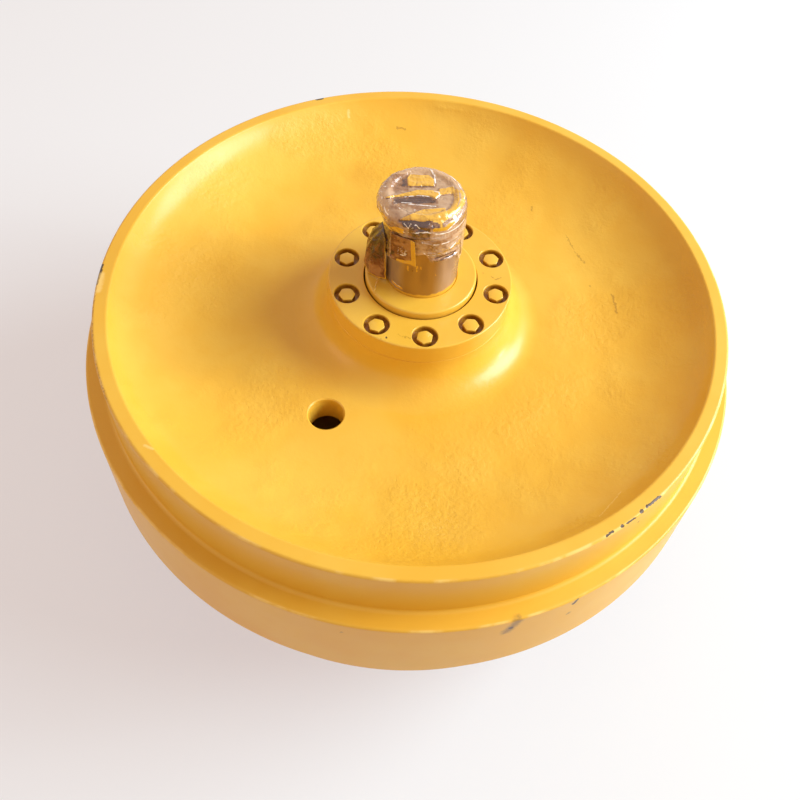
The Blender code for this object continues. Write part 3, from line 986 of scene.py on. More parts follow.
@dataclass
class WheelCasting:
    """The cast wheel: two dished webs, rim, treads, guide flange, hub boss, core cavity and core holes."""

    tread_radius: float = 0.400
    rim_face: float = 0.138
    flange_side: float = 0.061
    flange_radius: float = 0.423
    mouth_radius: float = 0.3824
    dish_radius: float = 0.2337
    dish_slope: float = radians(30)
    lip_slope: float = radians(59)
    web: float = 0.078
    cavity: float = 0.041
    cavity_radius: float = 0.360
    boss_radius: float = 0.1167
    boss_fillet: float = 0.046
    hub_face: float = 0.1257
    hub_bore: float = 0.084
    edge_round: float = 0.0036
    shoulder_fillet: float = 0.005
    crown_round: float = 0.003
    mouth_round: float = 0.0036
    core_hole: float = 0.021
    core_pitch: float = 0.197
    core_angle: float = radians(-116)
    facets: int = 240
    wave_depth: float = 0.0007
    wave_length: float = 0.055
    wave_margin: float = 0.004
    wave_fade: float = 0.012
    core_round: float = 0.008
    core_flare: float = 0.0022
    bolt_hole: float = 0.0064

    def dish(self) -> list[Corner]:
        """The dish from the flat web up to the rim's mouth, on two arcs tangent to each other.

        Returns:
            The corners.
        """
        rise = (1 - cos(self.dish_slope), cos(self.dish_slope) - cos(self.lip_slope))
        run = (sin(self.dish_slope), sin(self.lip_slope) - sin(self.dish_slope))
        width = self.mouth_radius - self.dish_radius
        depth = self.rim_face - self.web
        scale = rise[0] * run[1] - rise[1] * run[0]
        wide = (depth * run[1] - width * rise[1]) / scale
        lip = (width * rise[0] - depth * run[0]) / scale
        down = -pi / 2
        bottom = arc_corners((self.dish_radius, self.web + wide), wide, down, down + self.dish_slope, 14)
        centre = (
            self.dish_radius + (wide - lip) * sin(self.dish_slope),
            self.web + wide - (wide - lip) * cos(self.dish_slope),
        )
        upper = arc_corners(centre, lip, down + self.dish_slope, down + self.lip_slope, 9)
        return bottom + upper[1:-1]

    def half_outline(self) -> list[Corner]:
        """The casting above the middle plane, from the bore out to the flange.

        Returns:
            The corners.
        """
        return [
            Corner(self.hub_bore, self.hub_face, 0.0006, 2),
            Corner(self.boss_radius, self.hub_face, 0.0009, 3),
            Corner(self.boss_radius, self.web, self.boss_fillet, 16),
            *self.dish(),
            Corner(self.mouth_radius, self.rim_face, self.mouth_round, 3),
            Corner(self.tread_radius, self.rim_face, self.edge_round, 8),
            Corner(self.tread_radius, self.flange_side, self.shoulder_fillet, 6),
            Corner(self.flange_radius, self.flange_side, self.crown_round, 5),
        ]

    def build(self) -> Piece:
        """The casting's mesh.

        Returns:
            The mesh's object.
        """
        half = self.half_outline()
        points = outline_points(half + turned_over(half), closed=True, longest=0.009)
        wheel = turn_profile("painted_wheel_casting", points, self.facets)
        self.roughen(wheel)
        self.hollow(wheel)
        self.drill(wheel)
        smooth(wheel)
        return wheel

    def roughen(self, wheel: Piece) -> None:
        """Lays the long waves of a sand casting over the webs, dishes and boss.

        Args:
            wheel: The casting, before it is hollowed.
        """
        group = wheel.vertex_groups.new(name="cast_skin")
        for vertex in wheel.data.vertices:
            radius = hypot(vertex.co.x, vertex.co.y)
            depth = min(self.mouth_radius - radius, radius - self.boss_radius) - self.wave_margin
            weight = clamped(depth / self.wave_fade)
            if weight and abs(vertex.co.z) > self.flange_side:
                group.add([vertex.index], weight, "REPLACE")
        texture = bpy.data.textures.new("casting_waves", "CLOUDS")
        texture.noise_scale = self.wave_length
        texture.noise_depth = 2
        modifier = wheel.modifiers.new("casting_waves", "DISPLACE")
        modifier.texture = texture
        modifier.texture_coords = "LOCAL"
        modifier.strength = self.wave_depth
        modifier.mid_level = 0.5
        modifier.vertex_group = group.name
        apply_modifier(wheel, modifier)
        wheel.vertex_groups.clear()

    def hollow(self, wheel: Piece) -> None:
        """Cuts the cavity that the core leaves, and the core hole of each web.

        Args:
            wheel: The casting.
        """
        corners = [
            Corner(self.boss_radius, self.cavity, self.core_round, 3),
            Corner(self.cavity_radius, self.cavity, self.core_round, 3),
            Corner(self.cavity_radius, -self.cavity, self.core_round, 3),
            Corner(self.boss_radius, -self.cavity, self.core_round, 3),
        ]
        combine(wheel, turn_profile("core", outline_points(corners, closed=True), 120))
        for side in Side:
            angle = self.core_angle if side is Side.UPPER else self.core_angle + pi
            flare = self.core_flare
            profile = [
                (0.0, self.web + 0.012),
                (self.core_hole + flare * 2, self.web + 0.012),
                (self.core_hole + flare, self.web),
                (self.core_hole + flare * 0.3, self.web - flare * 0.7),
                (self.core_hole, self.web - flare * 2),
                (self.core_hole, self.cavity - 0.004),
                (0.0, self.cavity - 0.004),
            ]
            tool = turn_profile("core_print", [(r, side.value * z) for r, z in profile], 48)
            tool.location = (self.core_pitch * cos(angle), self.core_pitch * sin(angle), 0.0)
            settle(tool)
            combine(wheel, tool)

    def drill(self, wheel: Piece) -> None:
        """Drills the tapped holes under the hub covers.

        Args:
            wheel: The casting.
        """
        pattern = BoltPattern()
        tools = []
        for side in Side:
            deepest = pattern.seat - pattern.length - 0.0006
            profile = [(0.0, 0.130), (self.bolt_hole, 0.130), (self.bolt_hole, deepest), (0.0, deepest)]
            drill = turn_profile("drill", [(r, side.value * z) for r, z in profile], 20)
            for number, place in enumerate(pattern.places()):
                tools.append(copy_piece(drill, f"drill_{side.label}_{number}", Matrix.Translation(place)))
            bpy.data.objects.remove(drill, do_unlink=True)
        combine(wheel, join_pieces(tools, "drills"))

    def make(self) -> Piece:
        """The finished casting.

        Returns:
            The casting.
        """
        paint = PaintFinish(
            name="casting_paint",
            cast_radius=0.379,
            edges=(
                Ring(self.tread_radius - 0.001, self.rim_face - 0.001, 0.003),
                Ring(self.flange_radius - 0.001, self.flange_side - 0.001, 0.0025),
            ),
            marks=WHEEL_MARKS,
        )
        wheel = self.build()
        finish_piece(wheel, paint.make(), WHEEL, ("wheel_casting",))
        return wheel


WHEEL_MARKS = (
    *marks_in_mm(
        MarkKind.CHIP,
        (1.6, (245.4, -314, 137.5), (252, -308, 137.5)),
        (2.8, (262.2, -300, 137.2)),
        (1.4, (266.5, -296.5, 137.5), (276.8, -287.3, 137.5)),
        (3.2, (283.4, -279, 138)),
        (2.6, (289.5, -272.2, 138)),
        (1.8, (291.5, -270, 137.8), (304.2, -257, 137.8)),
        (2.2, (285.4, -280.3, 116)),
        (4, (161.8, -390.8, 41)),
        (3, (228.2, -356.2, 48), (230.8, -354.5, 56)),
        (2.6, (-207.5, 338.8, 138), (-199.5, 342.5, 138)),
        (3, (-395.6, -47.2, 137.5), (-393.5, -62.3, 137.5)),
        (2.6, (-393.5, -62.3, 137.5), (-391.2, -77.5, 137)),
    ),
    *marks_in_mm(
        MarkKind.SMUDGE,
        (10, (167.2, -388.6, 56), (158, -392.4, 33)),
        (6, (156.1, -393.2, 29)),
        (4.6, (227.9, -356.4, 20.5)),
        (6, (174, -360.2, -131)),
        (3, (-19.7, -422.5, 40.8)),
    ),
    *marks_in_mm(
        MarkKind.SCRATCH,
        # the first three run round the rim's left outer edge: a painted shade line, not scratches
        (1.9, (-393.3, -69.4, 136.2), (-377.6, -130, 136.2)),
        (1.7, (-377.6, -130, 136.2), (-352.6, -187.5, 136.2)),
        (1.5, (-352.6, -187.5, 136.2), (-319, -240.4, 136.2)),
        (2.6, (139.2, 234, 80.8), (140.2, 227, 80.6)),
        (1.6, (192.6, 186.9, 80.3), (201.9, 168.5, 79.8)),
        (1.3, (201.9, 168.5, 79.8), (211.9, 150.1, 79.6)),
        (2.2, (211.9, 150.1, 79.6), (221.5, 136.8, 79.7)),
        (2.4, (230.9, 95, 78.8)),
        (2.4, (261.9, 81.8, 81.5), (268.3, 50.5, 81.2)),
        (2.4, (-81.8, 338.6, 107), (-69.9, 339.1, 106)),
    ),
    # painted highlights on the rim face and along the lips of the dish
    *marks_in_mm(
        MarkKind.SHINE,
        (6, (-390.5, -62, 138.2), (-385, -88, 138.2)),
        (2.2, (-260, -288.5, 138.2), (-250.5, -291.5, 138.2)),
        (3, (-158.4, 338.4, 125.5), (-157.1, 331.6, 119.6)),
        (1.1, (265, -246, 115.5), (253, -266, 119.2), (239.8, -285.5, 125.2)),
    ),
    # a painted shadow of the shaft's end on the back of the upper dish
    *marks_in_mm(
        MarkKind.SHADE,
        (36, (-121, 248, 83)),
    ),
)

COVER_MARKS = (
    *marks_in_mm(
        MarkKind.SCRATCH,
        (1, (-14.6, -99.6, 154), (-8, -101.4, 154)),
        (1.3, (-6, -102.2, 154), (0.5, -103, 154)),
        (2, (-33.2, -110, 154)),
        (1.3, (89.5, 16, 154), (95.5, 10.8, 154)),
        (2, (95.5, 10.8, 154), (101.2, 16, 154)),
        (1.8, (78.2, 19.8, 154)),
        (1.6, (81, 48, 154)),
    ),
    *marks_in_mm(
        MarkKind.CHIP,
        (1.6, (-26.5, -107, 154)),
    ),
)


@dataclass(frozen=True)
class BoltPattern:
    """The ring of ten bolts that holds a hub cover."""

    count: int = 10
    pitch_radius: float = 0.098
    first_angle: float = radians(172.9)
    seat: float = 0.145
    length: float = 0.045

    def places(self) -> list[Vector]:
        """Where the bolts stand in the XY plane."""
        angles = [self.first_angle + FULL_TURN * i / self.count for i in range(self.count)]
        return [Vector((self.pitch_radius * cos(a), self.pitch_radius * sin(a), 0.0)) for a in angles]


def turn_over(piece: Piece) -> None:
    """Mirrors a piece to the lower side and points its faces outwards again.

    Args:
        piece: The piece, as it is on the upper side.
    """
    piece.data.transform(Matrix.Diagonal((1.0, 1.0, -1.0, 1.0)))
    pick(piece)
    bpy.ops.object.mode_set(mode="EDIT")
    bpy.ops.mesh.select_all(action="SELECT")
    bpy.ops.mesh.normals_make_consistent(inside=False)
    bpy.ops.object.mode_set(mode="OBJECT")


@dataclass
class HubRing:
    """A painted ring of the hub, made for the upper side and turned over for the lower one."""

    side: Side
    kind: str
    body: str
    facets: int

    def outline(self) -> list[Corner]:
        """The ring's outline on the upper side."""
        raise NotImplementedError

    def cutter(self) -> Piece:
        """What is cut out of the turned ring on the upper side."""
        raise NotImplementedError

    def make(self, paint: bpy.types.Material) -> Piece:
        """The finished ring.

        Args:
            paint: Its paint.

        Returns:
            The ring.
        """
        points = outline_points(self.outline(), closed=True)
        ring = turn_profile(f"painted_{self.kind}_{self.side.label}", points, self.facets)
        combine(ring, self.cutter())
        if self.side is Side.LOWER:
            turn_over(ring)
        smooth(ring)
        finish_piece(ring, paint, self.body, (f"{self.kind}_{self.side.label}",))
        return ring


@dataclass
class HubCover(HubRing):
    """A hub cover: bolted flange, spigot with its O-ring groove, bush bore and seal seat."""

    kind: str = "hub_cover"
    body: str = WHEEL
    facets: int = 200
    radius: float = 0.1167
    face: float = 0.154
    seat: float = 0.126
    edge_round: float = 0.0022
    spigot: float = 0.0837
    spigot_end: float = 0.0218
    bore: float = 0.0583
    labyrinth: float = 0.07236
    seal_floor: tuple[float, float] = (0.0624, 0.102)
    seal_mouth: tuple[float, float] = (0.0666, 0.1155)
    groove_height: float = 0.1105
    groove_half: float = 0.0024
    groove_floor: float = 0.0807
    counterbore: float = 0.0158
    bolt_hole: float = 0.0064
    mouth_round: float = 0.0009

    def outline(self) -> list[Corner]:
        """The upper cover, from its face down the outside and back up through the bore.

        Returns:
            The corners.
        """
        high = self.groove_height + self.groove_half
        low = self.groove_height - self.groove_half
        return [
            Corner(self.radius, self.face, self.edge_round, 5),
            Corner(self.radius, self.seat, 0.0009, 3),
            Corner(self.spigot, self.seat),
            Corner(self.spigot, high),
            Corner(self.groove_floor, high),
            Corner(self.groove_floor, low),
            Corner(self.spigot, low),
            Corner(self.spigot, self.spigot_end, 0.0008, 2),
            Corner(self.bore, self.spigot_end, 0.0008, 2),
            Corner(self.bore, self.seal_floor[1]),
            Corner(*self.seal_floor),
            Corner(*self.seal_mouth),
            Corner(self.labyrinth, self.seal_mouth[1]),
            Corner(self.labyrinth, self.face, 0.0008, 3),
        ]

    def drill_tool(self) -> Piece:
        """The counterbore and the hole under it, for one bolt of the upper side.

        Returns:
            The cutter.
        """
        pattern = BoltPattern()
        mouth = self.counterbore + self.mouth_round
        return turn_profile(
            "counterbore",
            [
                (0.0, self.face + 0.003),
                (mouth + 0.003, self.face + 0.003),
                (mouth, self.face),
                (self.counterbore + self.mouth_round * 0.3, self.face - self.mouth_round * 0.35),
                (self.counterbore, self.face - self.mouth_round),
                (self.counterbore, pattern.seat),
                (self.bolt_hole, pattern.seat),
                (self.bolt_hole, pattern.seat - pattern.length),
                (0.0, pattern.seat - pattern.length),
            ],
            56,
        )

    def cutter(self) -> Piece:
        """The counterbores and holes of all its bolts.

        Returns:
            The cutters, joined.
        """
        tool = self.drill_tool()
        places = BoltPattern().places()
        tools = [copy_piece(tool, f"counterbore_{i}", Matrix.Translation(p)) for i, p in enumerate(places)]
        bpy.data.objects.remove(tool, do_unlink=True)
        return join_pieces(tools, "counterbores")


@dataclass
class CoverBolt:
    """A painted hexagon bolt with a chamfered head and a plain shank."""

    flats: float = 0.018
    head: float = 0.0075
    shank: float = 0.006
    length: float = 0.045
    gap: float = 0.0003
    softening: float = 0.00045
    crown_top: float = 0.004
    crown_inset: float = 0.0003
    crown_drop: float = 0.0024
    tip_chamfer: float = 0.0008
    margin: float = 0.004

    def build(self) -> Piece:
        """The bolt with its head's seat at the origin.

        Returns:
            The bolt.
        """
        corner = self.flats / 2 / cos(pi / 6)
        bolt = upright_rod("bolt", 6, corner, 0.0, self.head, pi / 6)
        crown = [
            (0.0, self.head * 2),
            (self.crown_top, self.head * 2),
            (self.flats / 2 - self.crown_inset, self.head),
            (corner + self.margin, self.head - self.crown_drop),
            (corner + self.margin, -self.margin),
            (0.0, -self.margin),
        ]
        combine(bolt, turn_profile("crown", crown, 72), "INTERSECT")
        rod = [
            (0.0, self.head / 2),
            (self.shank, self.head / 2),
            (self.shank, self.tip_chamfer - self.length),
            (self.shank - self.tip_chamfer, -self.length),
            (0.0, -self.length),
        ]
        combine(bolt, turn_profile("rod", rod, 24), "UNION")
        modifier = bolt.modifiers.new("softened_edges", "BEVEL")
        modifier.width = self.softening
        modifier.segments = 2
        modifier.limit_method = "ANGLE"
        modifier.angle_limit = radians(24)
        apply_modifier(bolt, modifier)
        smooth(bolt, 40.0)
        return bolt

    def make_all(self, paint: bpy.types.Material) -> None:
        """The finished bolts of both covers.

        Args:
            paint: Their paint.
        """
        pattern = BoltPattern()
        model = self.build()
        for side in Side:
            for number, place in enumerate(pattern.places(), start=1):
                turn = Matrix.Rotation(radians(number * 37 % 60), 4, "Z")
                flip = Matrix.Rotation(0.0 if side is Side.UPPER else pi, 4, "X")
                lift = Matrix.Translation(place + Vector((0, 0, side.value * (pattern.seat + self.gap))))
                name = f"{side.label}_{number:02d}"
                bolt = copy_piece(model, f"hexagon_bolt_{name}", lift @ flip @ turn)
                finish_piece(bolt, paint, WHEEL, (f"cover_bolt_{name}",))
        bpy.data.objects.remove(model, do_unlink=True)


@dataclass
class SealCollar(HubRing):
    """A seal collar, fixed on the shaft, with its seal seat, O-ring groove and pin slot."""

    kind: str = "seal_collar"
    body: str = SHAFT
    facets: int = 160
    radius: float = 0.07046
    top: float = 0.163
    edge_round: float = 0.003
    bore: float = 0.0453
    nose: float = 0.0515
    nose_end: float = 0.1003
    seal_mouth: tuple[float, float] = (0.0666, 0.1205)
    seal_floor: tuple[float, float] = (0.0624, 0.134)
    groove_height: float = 0.150
    groove_half: float = 0.0023
    groove_floor: float = 0.0485
    slot_width: float = 0.0086
    slot_top: float = 0.1096

    def outline(self) -> list[Corner]:
        """The upper collar, from its face down the skirt, round the seal's seat and up the bore.

        Returns:
            The corners.
        """
        return [
            Corner(self.radius, self.top, self.edge_round, 6),
            Corner(self.radius, self.seal_mouth[1], 0.0006, 2),
            Corner(*self.seal_mouth),
            Corner(*self.seal_floor),
            Corner(self.nose, self.seal_floor[1]),
            Corner(self.nose, self.nose_end, 0.0006, 2),
            Corner(self.bore, self.nose_end, 0.0006, 2),
            Corner(self.bore, self.groove_height - self.groove_half),
            Corner(self.groove_floor, self.groove_height - self.groove_half),
            Corner(self.groove_floor, self.groove_height + self.groove_half),
            Corner(self.bore, self.groove_height + self.groove_half),
            Corner(self.bore, self.top, 0.0012, 3),
        ]

    def cutter(self) -> Piece:
        """The slot for the drive pin.

        Returns:
            The cutter.
        """
        deselect()
        length = self.slot_top - self.nose_end + 0.004
        place = (self.nose - 0.003, 0.0, self.slot_top - length / 2)
        bpy.ops.mesh.primitive_cube_add(size=1.0, location=place)
        slot = bpy.context.object
        slot.name = "pin_slot"
        slot.scale = (0.016, self.slot_width, length)
        settle(slot)
        return slot


@dataclass
class IdlerShaft:
    """The stepped shaft with its journals, thrust flange, oil bores, plug pocket and pin holes."""

    end_radius: float = 0.045
    end: float = 0.286
    chamfer: float = 0.003
    shoulder: float = 0.100
    journal: float = 0.050
    thrust_radius: float = 0.070
    thrust: float = 0.014
    oil_bore: float = 0.006
    cross_bore: float = 0.004
    pocket: float = 0.0103
    pocket_depth: float = 0.0183
    pin_hole: float = 0.0043
    pin_height: float = 0.1053
    pin_foot: float = 0.0359
    facets: int = 180

    def build(self) -> Piece:
        """The shaft's mesh.

        Returns:
            The mesh's object.
        """
        upper = [
            Corner(self.end_radius - self.chamfer, self.end, 0.0006, 2),
            Corner(self.end_radius, self.end - self.chamfer, 0.0006, 2),
            Corner(self.end_radius, self.shoulder, 0.0006, 2),
            Corner(self.journal, self.shoulder, 0.0008, 2),
            Corner(self.journal, self.thrust, 0.001, 2),
            Corner(self.thrust_radius, self.thrust, 0.0008, 2),
        ]
        floor = self.pocket_depth - self.end
        lower = turned_over(upper)
        axis = [
            Corner(self.pocket, -self.end, 0.0005, 2),
            Corner(self.pocket, floor),
            Corner(self.oil_bore, floor),
            Corner(self.oil_bore, 0.006),
            Corner(0.0, 0.008),
        ]
        corners = [Corner(0.0, self.end), *upper, *lower, *axis]
        points = outline_points(corners, closed=False, longest=0.02)
        shaft = turn_profile("greased_idler_shaft", points, self.facets)
        combine(shaft, self.rod_along_x("cross_bore", self.cross_bore, -0.08, 0.08, 0.0))
        for side in Side:
            height = side.value * self.pin_height
            hole = self.rod_along_x(f"pin_hole_{side.label}", self.pin_hole, self.pin_foot, 0.06, height)
            combine(shaft, hole)
        smooth(shaft)
        return shaft

    def rod_along_x(self, name: str, radius: float, low: float, high: float, height: float) -> Piece:
        """A round cutter along X between two places.

        Args:
            name: Its name.
            radius: Its radius.
            low: Where it starts.
            high: Where it ends.
            height: The height of its axis.

        Returns:
            The cutter.
        """
        rod = upright_rod(name, 24, radius, low, high)
        rod.data.transform(Matrix.Translation((0.0, 0.0, height)) @ Matrix.Rotation(pi / 2, 4, "Y"))
        return rod

    def make(self) -> Piece:
        """The finished shaft.

        Returns:
            The shaft.
        """
        shaft = self.build()
        finish_piece(shaft, GreasedSteelFinish().make(), SHAFT, ("idler_shaft",))
        return shaft


@dataclass
class OilPlug:
    """The socket plug in the shaft's lower end."""

    radius: float = 0.010
    low: float = -0.284
    length: float = 0.016
    socket: float = 0.008
    socket_depth: float = 0.008

    def make(self) -> Piece:
        """The finished plug.

        Returns:
            The plug.
        """
        top = self.low + self.length
        corners = [
            Corner(0.0, top),
            Corner(self.radius, top, 0.0008, 2),
            Corner(self.radius, self.low, 0.0011, 3),
            Corner(0.0, self.low),
        ]
        plug = turn_profile("socket_oil_plug", outline_points(corners, closed=False), 64)
        corner = self.socket / 2 / cos(pi / 6)
        combine(plug, upright_rod("key", 6, corner, self.low - 0.002, self.low + self.socket_depth))
        smooth(plug)
        zinc = MetalFinish("plug_zinc", (0.50, 0.50, 0.50), (0.36, 0.34, 0.30), 0.32)
        finish_piece(plug, zinc.make(), SHAFT, ("oil_plug",))
        return plug


@dataclass
class InnerPieces:
    """The CAD nodes that keep their own shape, deep in the hub."""

    steel: MetalFinish = MetalFinish("lapped_steel", (0.60, 0.60, 0.61), (0.42, 0.40, 0.38), 0.18)
    zinc: MetalFinish = MetalFinish("pin_zinc", (0.50, 0.50, 0.50), (0.36, 0.34, 0.30), 0.32)
    bronze: MetalFinish = MetalFinish("bush_bronze", (0.62, 0.37, 0.14), (0.40, 0.22, 0.08), 0.26)
    rubber: RubberFinish = RubberFinish()

    def dress(self) -> None:
        """Gives each of them its material."""
        finishes = {
            "seal_ring": self.steel.make(),
            "collar_pin": self.zinc.make(),
            "flanged_bush": self.bronze.make(),
            "seal_rubber": self.rubber.make(),
        }
        finishes["o_ring"] = finishes["seal_rubber"]
        for name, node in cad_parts.items():
            for word, material in finishes.items():
                if word in name:
                    node.data.materials.clear()
                    node.data.materials.append(material)
                    log.info("%s: CAD node dressed in %s", name, material.name)


FILM_MARKS = (
    *marks_in_mm(
        MarkKind.PAINT,
        (4, (15, 11.8, 290.5), (19.5, 14, 290.6), (26.2, 17.6, 291)),
        (
            5, (30.3, 14.2, 290.9), (33, 1.3, 292.1), (31.1, -13.2, 291.8), (26.1, -25.8, 291.4),
            (19.4, -36, 288.7),
        ),
        (6, (-47, -16.9, 256), (-37.1, -33, 264.6), (-24.1, -44.7, 273.2)),
        (4.2, (14.4, -43.5, 281.4), (26.8, -37.2, 280.1), (33.6, -28.8, 284.6)),
    ),
    # dark lines of painted shade, with some grime, in the creases under the folds and in the gathered film by
    # the tail
    *marks_in_mm(
        MarkKind.CREASE,
        (1.4, (-26.6, 11.9, 288.8), (-12.1, 13.7, 289.2), (4.4, 18.8, 288.3)),
        (3.4, (-21.9, -8.2, 289), (-7.8, -4.9, 288.3), (6.4, -5.4, 288.5)),
        (2.6, (-26.8, -41.6, 285.5), (-12.1, -43, 289), (3.8, -41, 289)),
        (2.2, (3.8, -41, 289), (16.5, -36.4, 289.8), (22.7, -28.6, 293.4)),
        (2.6, (17.7, -43.8, 229.1), (27.7, -39.8, 233.1), (39.2, -28.6, 232.2)),
        (2, (17.9, -43.6, 234.5), (30.3, -36.6, 237.2), (40.2, -25.8, 234.4)),
        (3.4, (44.5, -16.5, 242), (46.2, -12.5, 218)),
        (6.6, (-49.2, -9.9, 235), (-44.4, -20.5, 236.9), (-41.8, -26.7, 229.1)),
        (1.4, (-44.3, 17, 292.6), (-37.3, 14.2, 288.7), (-29.5, 12.1, 288.6)),
    ),
    *marks_in_mm(
        MarkKind.GLARE,
        (1.3, (-56.3, 7.7, 285.9), (-50.2, 4.1, 291.2)),
        (1.1, (-54.3, -1.6, 288), (-50.8, -13.4, 288.8), (-50.1, -20.8, 284.7)),
        (1.1, (-46.7, -24.8, 287), (-44.4, -29.5, 285.1), (-40.8, -33.4, 284.2)),
        (0.9, (-53.5, -17.7, 278.9), (-50.8, -21, 274.6), (-45.3, -31.6, 278)),
        (1.3, (-2.8, 42.8, 292.5), (2.5, 37.4, 289.7), (5.1, 25.8, 288.4)),
        (1.3, (20, 40, 291.5), (25.4, 35.3, 291.1), (35.1, 21.7, 290.7), (41.5, 6.5, 289)),
        (
            0.9, (-47.2, -22.3, 288.1), (-33.5, -21.3, 291.7), (-19.4, -16.5, 289.4),
            (-4.8, -14.8, 289.1), (10.7, -13.2, 289),
        ),
        (0.7, (-42.8, -19.8, 291.9), (-27.8, -15.1, 288.8), (-16.4, -13.9, 289)),
        (0.7, (-41.5, -29.8, 288.2), (-29.2, -28.1, 292.2), (-11.6, -23.9, 288.7)),
        (3.6, (33.6, -24.2, 287), (37, -26.5, 284)),
        (1.3, (28.9, -35.6, 276.6), (34.4, -30.3, 281.7), (40.7, -19, 284.8)),
        (1, (-20.7, -45.7, 272.7), (-7.4, -48.3, 276.6), (5.2, -45.9, 278.2)),
        (1.2, (5.2, -45.9, 278.2), (19.7, -41.4, 273.6), (30.4, -34.4, 272.9)),
        (1.6, (30.4, -34.4, 272.9), (39.1, -24, 272.8), (44.9, -9.2, 272.5)),
        (0.7, (-20.7, -43.6, 284.4), (-15.7, -46, 279.9), (-13.1, -44.5, 286.6)),
        (0.7, (-11.2, -46.5, 281.4), (-7.7, -44.7, 286.2), (-2.4, -45.9, 282.1)),
        (0.9, (1.5, -47, 261.4), (16.3, -44.6, 258.4), (28.8, -38, 258)),
        (1.1, (28.8, -38, 258), (39.7, -24.8, 257.6)),
        (1, (30.1, -36.4, 239.4), (34.6, -34.8, 247.4), (38.9, -26.7, 248.7)),
        (0.7, (4.2, -47.2, 245.1), (11, -46, 241), (23.9, -41.1, 240.6)),
        (0.7, (-26.8, -5.4, 288.5), (-11.8, -0.1, 289.3), (1.4, 0.9, 289.3)),
        (0.8, (5.9, 9.9, 290.4), (11.9, 9.1, 290.5), (12.8, 0.6, 288.7)),
    ),
)


def clamped(value: float) -> float:
    """The value, kept between 0 and 1."""
    return min(1.0, max(0.0, value))


def eased(value: float) -> float:
    """0 to 1 along a soft step."""
    share = clamped(value)
    return share * share * (3 - 2 * share)


def between(low: float, high: float, share: float) -> float:
    """The number at a share of the way from low to high."""
    return low + (high - low) * share


@dataclass(frozen=True)
class Fold:
    """A flat fold of the film on the end face.

    Each station along it gives the place of its lower and of its upper side.
    """

    stations: tuple[tuple[float, float, float], ...]
    spray: float = 1.0

    def sides(self, along: float) -> Point:
        """The lower and the upper side at a place along the fold.

        Args:
            along: The place.

        Returns:
            The two sides, across the fold.
        """
        low, high = self.stations[0][1:]
        for start, end in zip(self.stations, self.stations[1:]):
            share = clamped((along - start[0]) / (end[0] - start[0]))
            low += (end[1] - start[1]) * share
            high += (end[2] - start[2]) * share
        return low, high

    def depth_inside(self, along: float, across: float) -> float:
        """How far a place lies inside the fold, negative outside it."""
        low, high = self.sides(along)
        return min(along - self.stations[0][0], self.stations[-1][0] - along, across - low, high - across)

    def crease(self, along: float, across: float) -> float:
        """How near a place is to the crease under the fold, from 0 to 1, where painted shade and some grime
        go.

        Args:
            along: Place along the fold.
            across: Place across it.

        Returns:
            The nearness.
        """
        within = min(along - self.stations[0][0], self.stations[-1][0] - along) / 0.002
        below = self.sides(along)[0] - across
        return clamped(within) * clamped(2.0 - abs(below - 0.0009) / 0.0007)


@dataclass(frozen=True)
class Soil:
    """A patch on the end face: most are grease under the film, some are clean film, one is a painted shadow
    and one a painted sheen.
    """

    along: Point
    across: Point
    grease_and_shade: float
    fade: float = 0.005

    def cover(self, along: float, across: float) -> float:
        """How much of a place the patch covers, from 0 to 1.

        Args:
            along: Place along the folds.
            across: Place across them.

        Returns:
            The cover.
        """
        inside_along = min(along - self.along[0], self.along[1] - along)
        inside_across = min(across - self.across[0], self.across[1] - across)
        return eased(0.5 + min(inside_along, inside_across) / self.fade)


@dataclass(frozen=True)
class Roll:
    """A rolled fold that climbs round the sleeve."""

    start: float
    end: float
    height: float
    climb: float
    size: float
    width: float = 0.0016

    def share(self, angle: float, height: float) -> float:
        """How near a place is to the roll's middle, from 0 to 1.

        Args:
            angle: Direction from the axis.
            height: Height on the sleeve.

        Returns:
            The nearness.
        """
        if not self.start < angle < self.end:
            return 0.0
        middle = self.height + (angle - self.start) * self.climb
        fade = min(1.0, (angle - self.start) / 0.2, (self.end - angle) / 0.3)
        return fade * exp(-(((height - middle) / self.width) ** 2))


